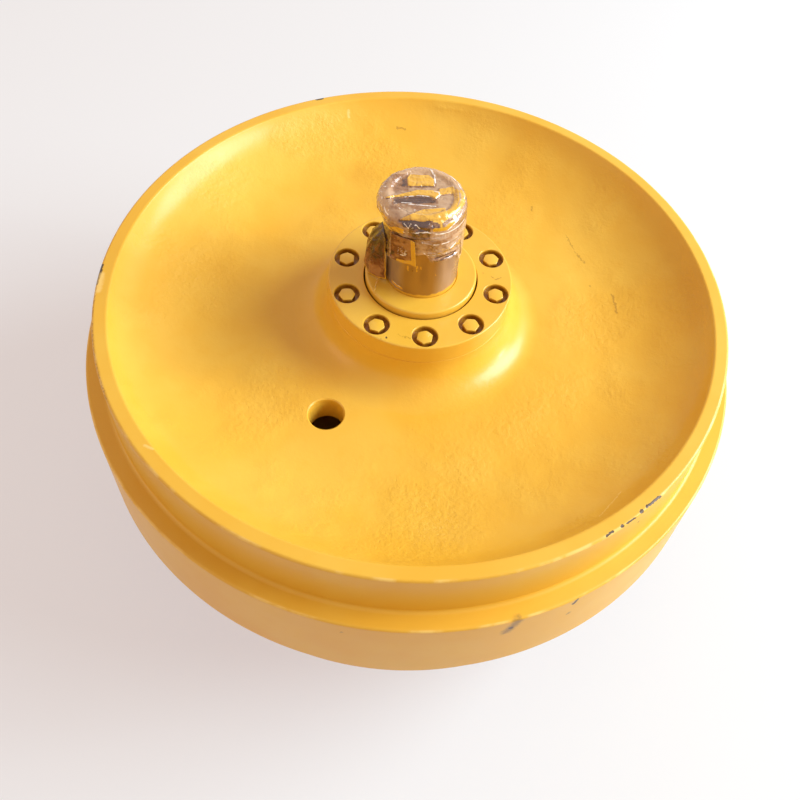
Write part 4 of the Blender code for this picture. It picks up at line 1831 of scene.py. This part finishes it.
@dataclass
class PackingFilm:
    """The clear film wrapped over the shaft's upper end, with its paint spray, flap, tail and strand."""

    end_radius: float = 0.045
    end: float = 0.286
    clearance: float = 0.0006
    thickness: float = 0.00025
    sleeve_foot: float = 0.200
    neck: float = 0.262
    rim: float = 0.2765
    top: float = 0.2918
    crown: float = 0.2884
    plain_radius: float = 0.050
    swell: float = 0.0055
    shoulder: float = 0.012
    crown_radius: float = 0.036
    sleeve_centre: Point = (-0.0012, 0.0)
    sleeve_reach: Point = (0.0478, 0.0468)
    cap_centre: Point = (-0.0062, 0.0035)
    cap_reach: Point = (0.0520, 0.0500)
    fold_turn: float = radians(13)
    fold_plane: float = 0.2905
    fold_lean: Point = (0.086, -1.072)
    fold_lift: float = 0.0017
    fold_edge: float = 0.0020
    ridge_place: float = -0.0135
    ridge_width: float = 0.0008
    ridge_lift: float = 0.0007
    crumple: float = 0.0012
    fine_crumple: float = 0.0005
    gathers: float = 0.0007
    sleeve_top: float = 0.265
    face_edge: float = 0.2800
    facets: int = 320
    crease_lift: float = 0.0007
    flap_faces: tuple[int, int] = (46, 40)
    flap_angles: tuple[Point, Point] = ((-133, -92), (-134, -96))
    flap_heights: tuple[Point, Point] = ((0.2215, 0.2262), (0.2612, 0.2655))
    flap_radius: float = 0.0489
    tail_faces: tuple[int, int] = (72, 44)
    tail_pinch: tuple[Place, Place] = ((-0.0440, -0.0250, 0.2360), (-0.0505, -0.0040, 0.2430))
    tail_hem: tuple[Place, ...] = (
        (-0.0405, -0.0270, 0.1670),
        (-0.0530, -0.0240, 0.1650),
        (-0.0650, -0.0185, 0.1650),
        (-0.0715, -0.0040, 0.1655),
        (-0.0725, 0.0130, 0.1690),
        (-0.0655, 0.0190, 0.1870),
    )
    strand_ends: tuple[Place, Place] = ((-0.0470, -0.0180, 0.1665), (-0.0515, -0.0500, 0.1637))
    strand_twist: float = 9.0
    hem: tuple[Point, ...] = (
        (-180, 0.206), (-150, 0.209), (-138, 0.214), (-112, 0.230), (-95, 0.239), (-82, 0.2425),
        (-70, 0.2285), (-50, 0.2295), (-27, 0.2235), (-18, 0.2095), (30, 0.214), (90, 0.222),
        (140, 0.211), (180, 0.206),
    )
    folds: tuple[Fold, ...] = (
        Fold(
            ((-0.022, 0.017, 0.030), (-0.018, 0.017, 0.037), (0.004, 0.017, 0.035), (0.009, 0.017, 0.029)),
            0.9,
        ),
        Fold(
            (
                (-0.050, -0.003, -0.001), (-0.030, 0.000, 0.004), (-0.012, 0.001, 0.0105),
                (0.002, -0.001, 0.010), (0.008, -0.005, 0.009), (0.0145, 0.001, 0.0075),
            )
        ),
        Fold(
            (
                (-0.035, -0.038, -0.037), (-0.022, -0.039, -0.029),
                (-0.008, -0.041, -0.022), (0.018, -0.037, -0.0195),
            )
        ),
        Fold(((0.0135, 0.001, 0.012), (0.031, 0.004, 0.016)), 0.62),
    )
    soils: tuple[Soil, ...] = (
        Soil((-0.060, 0.060), (0.036, 0.080), 0.20),
        Soil((-0.040, -0.022), (0.010, 0.037), 0.66),
        # a painted shadow just left of the raised upper fold
        Soil((-0.0285, -0.0225), (0.016, 0.029), 1.0),
        Soil((0.008, 0.013), (0.016, 0.034), 0.62),
        Soil((0.013, 0.050), (0.014, 0.050), 0.0),
        Soil((-0.042, 0.010), (-0.0125, -0.002), 1.00),
        Soil((-0.052, 0.012), (-0.021, -0.0145), 0.48),
        Soil((0.013, 0.034), (-0.034, 0.002), 0.25),
        Soil((-0.034, 0.014), (-0.054, -0.041), 1.05),
        # a painted sheen on the far left of the end face
        Soil((-0.070, -0.050), (-0.040, 0.030), 0.0),
    )
    rolls: tuple[Roll, ...] = (
        Roll(radians(-73), radians(-14), 0.2322, -0.0030, 0.0021),
        Roll(radians(-64), radians(-28), 0.2445, 0.0080, 0.0014, 0.0012),
        Roll(radians(-125), radians(10), 0.2655, 0.0020, 0.0010, 0.0011),
    )

    def hem_height(self, angle: float) -> float:
        """Height of the ragged hem at an angle in degrees.

        Args:
            angle: The angle.

        Returns:
            The height.
        """
        for (start, low), (end, high) in zip(self.hem, self.hem[1:]):
            if start <= angle <= end:
                return between(low, high, eased((angle - start) / (end - start)))
        return self.hem[0][1]

    def cap_points(self) -> list[Point]:
        """A plain outline of sleeve, swollen rim, shoulder and crown, which the shaping crumples.

        Returns:
            Radius and height of each point.
        """
        quarter = pi / 2
        wide = self.plain_radius + self.swell
        inner = wide - self.shoulder
        points = [(self.plain_radius, between(self.sleeve_foot, self.neck, i / 46)) for i in range(47)]
        for i in range(1, 13):
            radius = self.plain_radius + self.swell * sin(quarter * i / 12)
            points.append((radius, between(self.neck, self.rim, i / 12)))
        for i in range(1, 25):
            turn = quarter * i / 24
            radius = wide - self.shoulder * (1 - cos(turn))
            points.append((radius, between(self.rim, self.top, sin(turn))))
        for i in range(1, 9):
            radius = between(inner, self.crown_radius, i / 8)
            points.append((radius, between(self.top, self.crown, eased(i / 8))))
        for i in range(1, 41):
            points.append((self.crown_radius * (1 - i / 40), self.crown))
        return points

    def ridged(self, point: Vector, scale: float, seed: float) -> float:
        """Noise with sharp crests, from about -1 to 1, as in crumpled film."""
        value = noise.noise(point * scale + Vector((seed, seed * 0.7, -seed)))
        return 1.0 - 3.2 * abs(value)

    def fold_place(self, point: Vector) -> Point:
        """A place along and across the folds, which lean back over the shoulder.

        Args:
            point: A point of the cap.

        Returns:
            The place along and across.
        """
        drop = self.fold_plane - point.z
        x = point.x + self.fold_lean[0] * drop
        y = point.y + self.fold_lean[1] * drop
        turn = self.fold_turn
        return x * cos(turn) + y * sin(turn), y * cos(turn) - x * sin(turn)

    def placed(self, angle: float, radius: float, height: float) -> Vector:
        """A point of the smooth cap, from one of the plain outline.

        Args:
            angle: The point's direction from the axis.
            radius: Its radius in the plain outline.
            height: Its height in the plain outline.

        Returns:
            The point on the cap, which leans to one side of the shaft.
        """
        low = self.hem_height(degrees(angle))
        if height < self.neck:
            height = between(low, self.neck, (height - self.sleeve_foot) / (self.neck - self.sleeve_foot))
        loose = sin(pi / 2 * clamped((height - self.neck) / (self.rim - self.neck)))
        size = radius / (self.plain_radius + self.swell * loose)
        centre = [between(a, b, loose) for a, b in zip(self.sleeve_centre, self.cap_centre)]
        reach = [between(a, b, loose) for a, b in zip(self.sleeve_reach, self.cap_reach)]
        x = centre[0] + reach[0] * size * cos(angle)
        y = centre[1] + reach[1] * size * sin(angle)
        return Vector((x, y, height))

    def shaped(self, co: Vector) -> Vector:
        """Where a vertex of the plain cap goes.

        Args:
            co: The vertex in the plain cap.

        Returns:
            Its place in the crumpled cap.
        """
        angle = atan2(co.y, co.x)
        radius = hypot(co.x, co.y)
        point = self.placed(angle, radius, co.z)
        inner = self.plain_radius + self.swell - self.shoulder
        rise = 1.0 if radius < inner else clamped((point.z - self.rim) / (self.top - self.rim)) ** 1.5
        loose = eased((point.z - self.neck) / 0.012)
        outward = Vector((cos(angle), sin(angle), 0.0))
        normal = (outward * (1 - rise) + Vector((0.0, 0.0, rise))).normalized()
        calm = 0.45 if -1.5 < angle < 0.6 and loose > 0.5 else 1.0
        squat = Vector((point.x, point.y, point.z * 0.55))
        crumple = self.ridged(squat, 48, 3.1) * self.crumple
        crumple += self.ridged(squat, 118, 7.7) * self.fine_crumple
        gather = self.ridged(Vector((point.x, point.y, point.z * 3.2)), 34, 1.3) * self.gathers
        move = (crumple * (0.4 + 0.7 * loose) * calm + gather * (1 - loose)) * (1 - 0.75 * rise)
        along, across = self.fold_place(point)
        if rise > 0.1:
            wavy = across + 0.0010 * noise.noise(point * 70)
            depth = max(fold.depth_inside(along, wavy) for fold in self.folds)
            ridge = exp(-(((across - self.ridge_place) / self.ridge_width) ** 2))
            ridge *= clamped((0.006 - abs(along + 0.021) + 0.022) / 0.004)
            lifted = self.fold_lift * eased(depth / self.fold_edge + 0.5) + self.ridge_lift * ridge
            move += lifted * min(1.0, rise * 1.6)
            move += 0.0004 * self.ridged(Vector((point.x * 0.6, point.y * 1.5, 0.0)), 85, 5.0) * rise
        for roll in self.rolls:
            move += roll.size * roll.share(angle, point.z)
        move += self.crease_lift * (self.marked(MarkKind.GLARE, point) - self.marked(MarkKind.CREASE, point))
        return self.kept_off(point + normal * move)

    def marked(self, kind: MarkKind, point: Vector) -> float:
        """How strongly the film's marks of one kind show at a place, from 0 to 1."""
        return max(eased(mark.nearness(point) * 1.6) for mark in FILM_MARKS if mark.kind is kind)

    def kept_off(self, point: Vector) -> Vector:
        """Moves a point out of the shaft's end, with a clearance.

        Args:
            point: The point.

        Returns:
            The point, or the nearest one outside.
        """
        radius = hypot(point.x, point.y)
        wall = self.end_radius + self.clearance
        roof = self.end + self.clearance
        if radius >= wall or point.z >= roof:
            return point
        if roof - point.z < wall - radius:
            return Vector((point.x, point.y, roof))
        scale = wall / radius
        return Vector((point.x * scale, point.y * scale, point.z))

    def stains(self, point: Vector) -> Point:
        """Paint spray, and grease with painted shade, at a place with its marks, each from 0 to 1."""
        spray, grease_and_shade = self.areas(point)
        return max(spray, self.marked(MarkKind.PAINT, point)), max(grease_and_shade, self.marked(MarkKind.CREASE, point))

    def areas(self, point: Vector) -> Point:
        """Paint spray, and grease with painted shade and sheen, of a place's larger areas, each from 0 to 1.

        Args:
            point: The place.

        Returns:
            The spray, and the grease with painted shade and sheen.
        """
        angle = degrees(atan2(point.y, point.x))
        mottle = noise.noise(point * 32)
        if point.z < self.sleeve_top:
            return self.sleeve_stains_and_shading(point, angle, mottle)
        along, across = self.fold_place(point)
        spray = 0.0
        grease_and_shade = 0.30 + 0.3 * mottle
        if point.z > self.face_edge:
            wavy = across + 0.0008 * noise.noise(point * 90)
            for soil in self.soils:
                grease_and_shade = between(grease_and_shade, soil.grease_and_shade + 0.2 * mottle, soil.cover(along, wavy))
            for fold in self.folds:
                spray = max(spray, fold.spray * clamped(0.5 + fold.depth_inside(along, wavy) / 0.0014))
                # painted shade, with some grime, in the crease under each fold
                grease_and_shade = max(grease_and_shade, fold.crease(along, wavy) * fold.spray)
        spray = max(spray, self.ring_spray(point, angle))
        if -108 < angle < -78 and point.z < 0.284:
            grease_and_shade = max(grease_and_shade, 0.80)
        return clamped(spray), clamped(grease_and_shade)

    def ring_spray(self, point: Vector, angle: float) -> float:
        """How much paint spray lies round the shoulder, from 0 to about 1.

        Args:
            point: The place.
            angle: Its direction from the axis in degrees.

        Returns:
            The spray.
        """
        drop = self.fold_plane - point.z
        x = (point.x + self.fold_lean[0] * drop - self.cap_centre[0]) / self.cap_reach[0]
        y = (point.y + self.fold_lean[1] * drop - self.cap_centre[1]) / self.cap_reach[1]
        left = eased((-80 - angle) / 30)
        middle = between(0.89, 1.20, left)
        facing = min(angle + 172, 30 - angle) / 8
        gap = max(-112 - angle, angle + 80) / 10
        band = 1.35 - abs(hypot(x, y) - middle) / 0.095
        return clamped(facing) * clamped(gap) * clamped(band) * (0.85 + 0.7 * noise.noise(point * 45))

    def sleeve_stains_and_shading(self, point: Vector, angle: float, mottle: float) -> Point:
        """Paint spray on the sleeve, and grease with painted light and shade.

        Args:
            point: The place.
            angle: Its direction from the axis in degrees.
            mottle: Noise at the place.

        Returns:
            The spray, and the grease with painted light and shade, each from 0 to 1.
        """
        streak = noise.noise(Vector((point.x, point.y, point.z * 0.4)) * 70)
        # painted light: the side that faces the lamp, to the right, is left lighter
        painted_lit_side = eased((angle + 62) / 34) * eased((60 - angle) / 30)
        grease_and_shade = between(0.46, 0.12, painted_lit_side) + 0.34 * streak + 0.15 * mottle
        spray = 0.0
        # painted shade just under the rolled folds
        rolled = max(roll.share(radians(angle), point.z + 0.0016) for roll in self.rolls[:2])
        grease_and_shade = max(grease_and_shade, 0.95 * rolled)
        if -178 < angle < -140 and point.z > 0.212:
            grease_and_shade = 0.98
        if -75 < angle < -20 and 0.236 < point.z < 0.252:
            spray = 0.5 * eased(1.6 - abs(point.z - 0.2445) / 0.005) + 0.3 * mottle
        if -80 < angle < -74:
            spray = 0.3
        return clamped(spray), clamped(grease_and_shade)

    def paint_on(self, piece: Piece, spray: list[float], grease_and_shade: list[float], glare: list[float]) -> None:
        """Writes spray, grease with painted shade, and painted glare to a piece's vertices.

        Args:
            piece: The piece.
            spray: Spray at each vertex.
            grease_and_shade: Grease and painted shade at each vertex.
            glare: Glare at each vertex.
        """
        for name, values in (("spray", spray), ("grease_and_shade", grease_and_shade), ("glare", glare)):
            attribute = piece.data.attributes.new(name, "FLOAT", "POINT")
            attribute.data.foreach_set("value", [clamped(value) for value in values])

    def thicken(self, piece: Piece) -> None:
        """Gives a sheet of film its thickness.

        Args:
            piece: The sheet.
        """
        modifier = piece.modifiers.new("film_thickness", "SOLIDIFY")
        modifier.thickness = self.thickness
        modifier.offset = 1.0
        apply_modifier(piece, modifier)
        pick(piece)
        bpy.ops.object.shade_smooth()

    def make_cap(self) -> Piece:
        """The film's main sheet, over the end and down the side of the shaft.

        Returns:
            The sheet.
        """
        cap = turn_profile("film_over_shaft_end", self.cap_points(), self.facets)
        for vertex in cap.data.vertices:
            vertex.co = self.shaped(vertex.co)
        stains = [self.stains(vertex.co) for vertex in cap.data.vertices]
        glare = [self.marked(MarkKind.GLARE, vertex.co) for vertex in cap.data.vertices]
        self.paint_on(cap, [pair[0] for pair in stains], [pair[1] for pair in stains], glare)
        self.thicken(cap)
        return cap

    def sheet(self, name: str, columns: int, rows: int, place: Callable[[float, float], Vector]) -> Piece:
        """A grid that a rule lays in place.

        Args:
            name: The piece's name.
            columns: Faces across.
            rows: Faces down.
            place: Gives the place of a point from its two shares of the sheet.

        Returns:
            The sheet, without thickness.
        """
        deselect()
        bpy.ops.mesh.primitive_grid_add(x_subdivisions=columns, y_subdivisions=rows, size=2.0)
        piece = bpy.context.object
        piece.name = name
        for vertex in piece.data.vertices:
            vertex.co = place((vertex.co.x + 1) / 2, (vertex.co.y + 1) / 2)
        return piece

    def shares(self, columns: int, rows: int) -> list[Point]:
        """The shares of a sheet's width and height at its vertices, in their order."""
        return [(i / columns, j / rows) for j in range(rows + 1) for i in range(columns + 1)]

    def flap_place(self, across: float, up: float) -> Vector:
        """A point of the loose square flap on the sleeve's front left.

        Args:
            across: Share of its width.
            up: Share of its height.

        Returns:
            The point.
        """
        foot, head = self.flap_angles
        angle = radians(between(between(*foot, across), between(*head, across), up))
        foot, head = self.flap_heights
        height = between(between(*foot, across), between(*head, across), up)
        curl = max(0.0, across - 0.70) ** 2 * 0.035 + max(0.0, 0.20 - up) ** 2 * 0.040
        wave = 0.0008 * noise.noise(Vector((across * 3.2, up * 2.6, 2.0)))
        radius = self.flap_radius + curl + wave + 0.0012 * (1 - across)
        return Vector((self.sleeve_centre[0] + radius * cos(angle), radius * sin(angle), height))

    def make_flap(self) -> Piece:
        """The flap, with paint along its free edges.

        Returns:
            The flap.
        """
        flap = self.sheet("film_flap", *self.flap_faces, self.flap_place)
        spray = []
        grease_and_shade = []
        glare = []
        for across, up in self.shares(*self.flap_faces):
            scribble = self.ridged(Vector((across * 0.10, up * 0.16, 0.0)), 60, 2.0)
            central = eased(1.6 - hypot(across - 0.50, up - 0.42) / 0.22)
            glare.append(0.75 * eased(scribble * 2.2 - 1.1) * central)
            wobble = 0.35 * noise.noise(Vector((across * 7, up * 7, 0.0)))
            lower = min((0.02 + 0.16 * across - up) / 0.06, (across - 0.30) / 0.10)
            border = max((across - 0.84) / 0.05, lower)
            spray.append(0.5 + border + wobble)
            grease_and_shade.append(between(0.60, 0.20, across) + 0.6 * noise.noise(Vector((across * 5, up * 5, 4.0))))
        self.paint_on(flap, spray, grease_and_shade, glare)
        self.thicken(flap)
        return flap

    def tail_place(self, across: float, down: float) -> Vector:
        """A point of the tail, gathered at the sleeve's left and fanned out over the collar.

        Args:
            across: Share of its width.
            down: Share of its length.

        Returns:
            The point.
        """
        pinch = Vector(self.tail_pinch[0]).lerp(Vector(self.tail_pinch[1]), across)
        hem_points = [Vector(place) for place in self.tail_hem]
        step = across * (len(hem_points) - 1)
        index = min(int(step), len(hem_points) - 2)
        hem = hem_points[index].lerp(hem_points[index + 1], step - index)
        point = pinch.lerp(hem, down)
        sag = sin(pi * down) * between(0.0005, 0.0075, eased(across / 0.7))
        pleat = sin(across * 24) * 0.0024 * down * (1.25 - down)
        crumple = noise.noise(Vector((across * 7, down * 5, 9.0))) * 0.0026 * down
        point += Vector((-0.7, -0.25, 0.5)) * (pleat + crumple) + Vector((-0.85, -0.1, 0.30)) * sag
        return self.kept_off(point)

    def make_tail(self) -> Piece:
        """The tail of gathered film, soaked with grease.

        Returns:
            The tail.
        """
        tail = self.sheet("film_tail", *self.tail_faces, self.tail_place)
        spray = []
        grease_and_shade = []
        for across, down in self.shares(*self.tail_faces):
            edge = max(down - 0.965, 0.02 - across) / 0.03
            spray.append((0.5 + edge) * 0.8)
            dark = 0.98 - 0.48 * eased((down - 0.20) / 0.60)
            grease_and_shade.append(dark + 0.45 * noise.noise(Vector((across * 8, down * 3, 1.0))))
        self.paint_on(tail, spray, grease_and_shade, [0.0] * len(spray))
        self.thicken(tail)
        return tail

    def strand_place(self, around: float, along: float) -> Vector:
        """A point of the thin strand that lies over the collar's face.

        Args:
            around: Share of a turn.
            along: Share of its length.

        Returns:
            The point.
        """
        start, end = self.strand_ends
        middle = Vector(start).lerp(Vector(end), along) + Vector((-0.0020, 0.0, 0.0)) * sin(pi * along)
        turn = FULL_TURN * around + along * self.strand_twist
        return middle + Vector((cos(turn) * 0.0008, 0.0, 0.0006 * (1 + sin(turn))))

    def make_strand(self) -> Piece:
        """The strand, as a closed thin twist.

        Returns:
            The strand.
        """
        parts = 24
        deselect()
        bpy.ops.mesh.primitive_cylinder_add(vertices=10, radius=1.0, depth=1.0)
        strand = bpy.context.object
        strand.name = "film_strand"
        bpy.ops.object.mode_set(mode="EDIT")
        for cut in range(1, parts):
            bpy.ops.mesh.select_all(action="SELECT")
            bpy.ops.mesh.bisect(plane_co=(0, 0, cut / parts - 0.5), plane_no=(0, 0, 1))
        bpy.ops.object.mode_set(mode="OBJECT")
        for vertex in strand.data.vertices:
            around = atan2(vertex.co.y, vertex.co.x) / FULL_TURN
            vertex.co = self.strand_place(around, 0.5 - vertex.co.z)
        count = len(strand.data.vertices)
        self.paint_on(strand, [0.65] * count, [0.25] * count, [0.0] * count)
        smooth(strand, 60.0)
        return strand

    def make(self, shaft: Piece, collar: Piece) -> None:
        """The finished film and what hangs from it.

        Args:
            shaft: The shaft that it is pulled over; not used.
            collar: The collar that its tail lies on; not used.
        """
        clear = FilmFinish("packing_film").make()
        soaked = FilmFinish(
            "soaked_film",
            haze=(0.50, 0.24, 0.080),
            amber=(0.22, 0.068, 0.016),
            grease_and_shade=(0.060, 0.020, 0.007),
            least_cover=0.80,
            coat=0.35,
        ).make()
        cap = self.make_cap()
        flap = self.make_flap()
        tail = self.make_tail()
        strand = self.make_strand()
        finish_piece(cap, clear, SHAFT, ("shaft_end_film",))
        finish_piece(flap, soaked, SHAFT)
        finish_piece(tail, soaked, SHAFT)
        finish_piece(strand, clear, SHAFT)


@dataclass(frozen=True)
class Lamp:
    """A soft lamp, aimed at the object's middle."""

    name: str
    azimuth: float
    elevation: float
    distance: float
    size: Point
    power: float
    colour: Colour

    def make(self) -> None:
        """Puts the lamp in its place."""
        lamp = bpy.data.lights.new(self.name, "AREA")
        lamp.shape = "ELLIPSE"
        lamp.size, lamp.size_y = self.size
        lamp.energy = self.power
        lamp.color = self.colour
        light = bpy.data.objects.new(self.name, lamp)
        bpy.context.scene.collection.objects.link(light)
        flat = cos(self.elevation)
        direction = Vector((flat * cos(self.azimuth), flat * sin(self.azimuth), sin(self.elevation)))
        light.location = direction * self.distance
        light.rotation_euler = direction.to_track_quat("Z", "Y").to_euler()


@dataclass
class Studio:
    """The floor, the lamps, the world and the camera."""

    floor_height: float = -0.286
    floor_size: float = 40.0
    floor_colour: Colour = (0.63, 0.55, 0.49)
    floor_shown: Colour = (0.340, 0.404, 0.402)
    floor_glow: Colour = (0.508, 0.455, 0.482)
    lamps: tuple[Lamp, ...] = (
        Lamp("key_lamp", radians(10), radians(35), 5.0, (4.2, 2.6), 334.0, (0.92, 1.0, 1.10)),
        Lamp("edge_lamp", radians(8), radians(13), 4.0, (0.4, 0.6), 34.0, (1.0, 1.0, 1.0)),
        Lamp("fill_lamp", radians(200), radians(15), 5.0, (3.0, 3.0), 25.0, (1.30, 0.90, 0.60)),
    )
    world_light: Colour = (0.58, 0.41, 0.28)
    world_backdrop: Colour = (0.93, 0.95, 0.98)
    camera_place: Place = (0.05542611, -0.75906588, 0.99823919)
    camera_turn: Place = (38.62949524, -5.307275, 6.6024202)
    lens: float = 40.178327
    sensor: float = 36.0
    shift: Point = (-0.07137726, -0.08951746)

    def seen_clearly(self, tree: bpy.types.NodeTree) -> Socket:
        """1 for what the camera, a gloss or a clear film shows, and 0 for the light on the object.

        Args:
            tree: The nodes of the material or the world.

        Returns:
            The share.
        """
        rays = tree.nodes.new("ShaderNodeLightPath")
        share = rays.outputs["Is Camera Ray"]
        for name in ("Is Glossy Ray", "Is Transmission Ray"):
            either = tree.nodes.new("ShaderNodeMath")
            either.operation = "MAXIMUM"
            tree.links.new(share, either.inputs[0])
            tree.links.new(rays.outputs[name], either.inputs[1])
            share = either.outputs[0]
        return share

    def make_floor(self) -> None:
        """A plain pale floor, which shows the object's shadow."""
        deselect()
        bpy.ops.mesh.primitive_plane_add(size=self.floor_size, location=(0.0, 0.0, self.floor_height))
        floor = bpy.context.object
        floor.name = "studio_floor"
        material = bpy.data.materials.new("studio_floor")
        material.use_nodes = True
        tree = material.node_tree
        tree.nodes.clear()
        output = tree.nodes.new("ShaderNodeOutputMaterial")
        both = tree.nodes.new("ShaderNodeAddShader")
        mix = tree.nodes.new("ShaderNodeMixShader")
        tree.links.new(self.seen_clearly(tree), mix.inputs["Fac"])
        for kind, colour, socket in (
            ("ShaderNodeBsdfDiffuse", self.floor_colour, mix.inputs[1]),
            ("ShaderNodeBsdfDiffuse", self.floor_shown, both.inputs[0]),
            ("ShaderNodeEmission", self.floor_glow, both.inputs[1]),
        ):
            shader = tree.nodes.new(kind)
            shader.inputs["Color"].default_value = (*colour, 1.0)
            tree.links.new(shader.outputs[0], socket)
        tree.links.new(both.outputs[0], mix.inputs[2])
        tree.links.new(mix.outputs[0], output.inputs["Surface"])
        floor.data.materials.append(material)

    def make_world(self) -> None:
        """Even light from all round, and a near-white backdrop for the camera and for reflections."""
        world = bpy.data.worlds.new("studio_world")
        bpy.context.scene.world = world
        world.use_nodes = True
        tree = world.node_tree
        background = tree.nodes["Background"]
        mix = tree.nodes.new("ShaderNodeMix")
        mix.data_type = "RGBA"
        mix.inputs[6].default_value = (*self.world_light, 1.0)
        mix.inputs[7].default_value = (*self.world_backdrop, 1.0)
        tree.links.new(self.seen_clearly(tree), mix.inputs["Factor"])
        tree.links.new(mix.outputs[2], background.inputs["Color"])

    def make_camera(self) -> None:
        """The photograph's camera."""
        camera = bpy.data.cameras.new("photo_camera")
        camera.sensor_width = self.sensor
        camera.lens = self.lens
        camera.shift_x, camera.shift_y = self.shift
        camera.clip_start = 0.01
        stand = bpy.data.objects.new("photo_camera", camera)
        bpy.context.scene.collection.objects.link(stand)
        stand.location = self.camera_place
        stand.rotation_euler = Euler([radians(a) for a in self.camera_turn], "XYZ")
        bpy.context.scene.camera = stand

    def make(self) -> None:
        """Everything round the object."""
        self.make_camera()
        self.make_floor()
        for lamp in self.lamps:
            lamp.make()
        self.make_world()
        bpy.context.scene.view_settings.view_transform = "Standard"


def main() -> None:
    """Builds the studio and each sub-assembly in order."""
    logging.basicConfig(level=logging.INFO, format="%(name)s: %(message)s")
    Studio().make()
    WheelCasting().make()
    cover_paint = PaintFinish(
        name="cover_paint",
        roughness=0.30,
        peel_depth=0.00003,
        recess=(0.1534, 0.1500, 0.1155),
        marks=COVER_MARKS,
    ).make()
    bolt_paint = PaintFinish(
        name="bolt_paint",
        roughness=0.30,
        peel_depth=0.00003,
        recess=(0.1524, 0.1488, 0.1155),
    ).make()
    collars = {}
    for side in Side:
        HubCover(side).make(cover_paint)
        collars[side] = SealCollar(side).make(cover_paint)
    CoverBolt().make_all(bolt_paint)
    shaft = IdlerShaft().make()
    OilPlug().make()
    InnerPieces().dress()
    PackingFilm().make(shaft, collars[Side.UPPER])
    deselect()


if __name__ == "__main__":
    main()
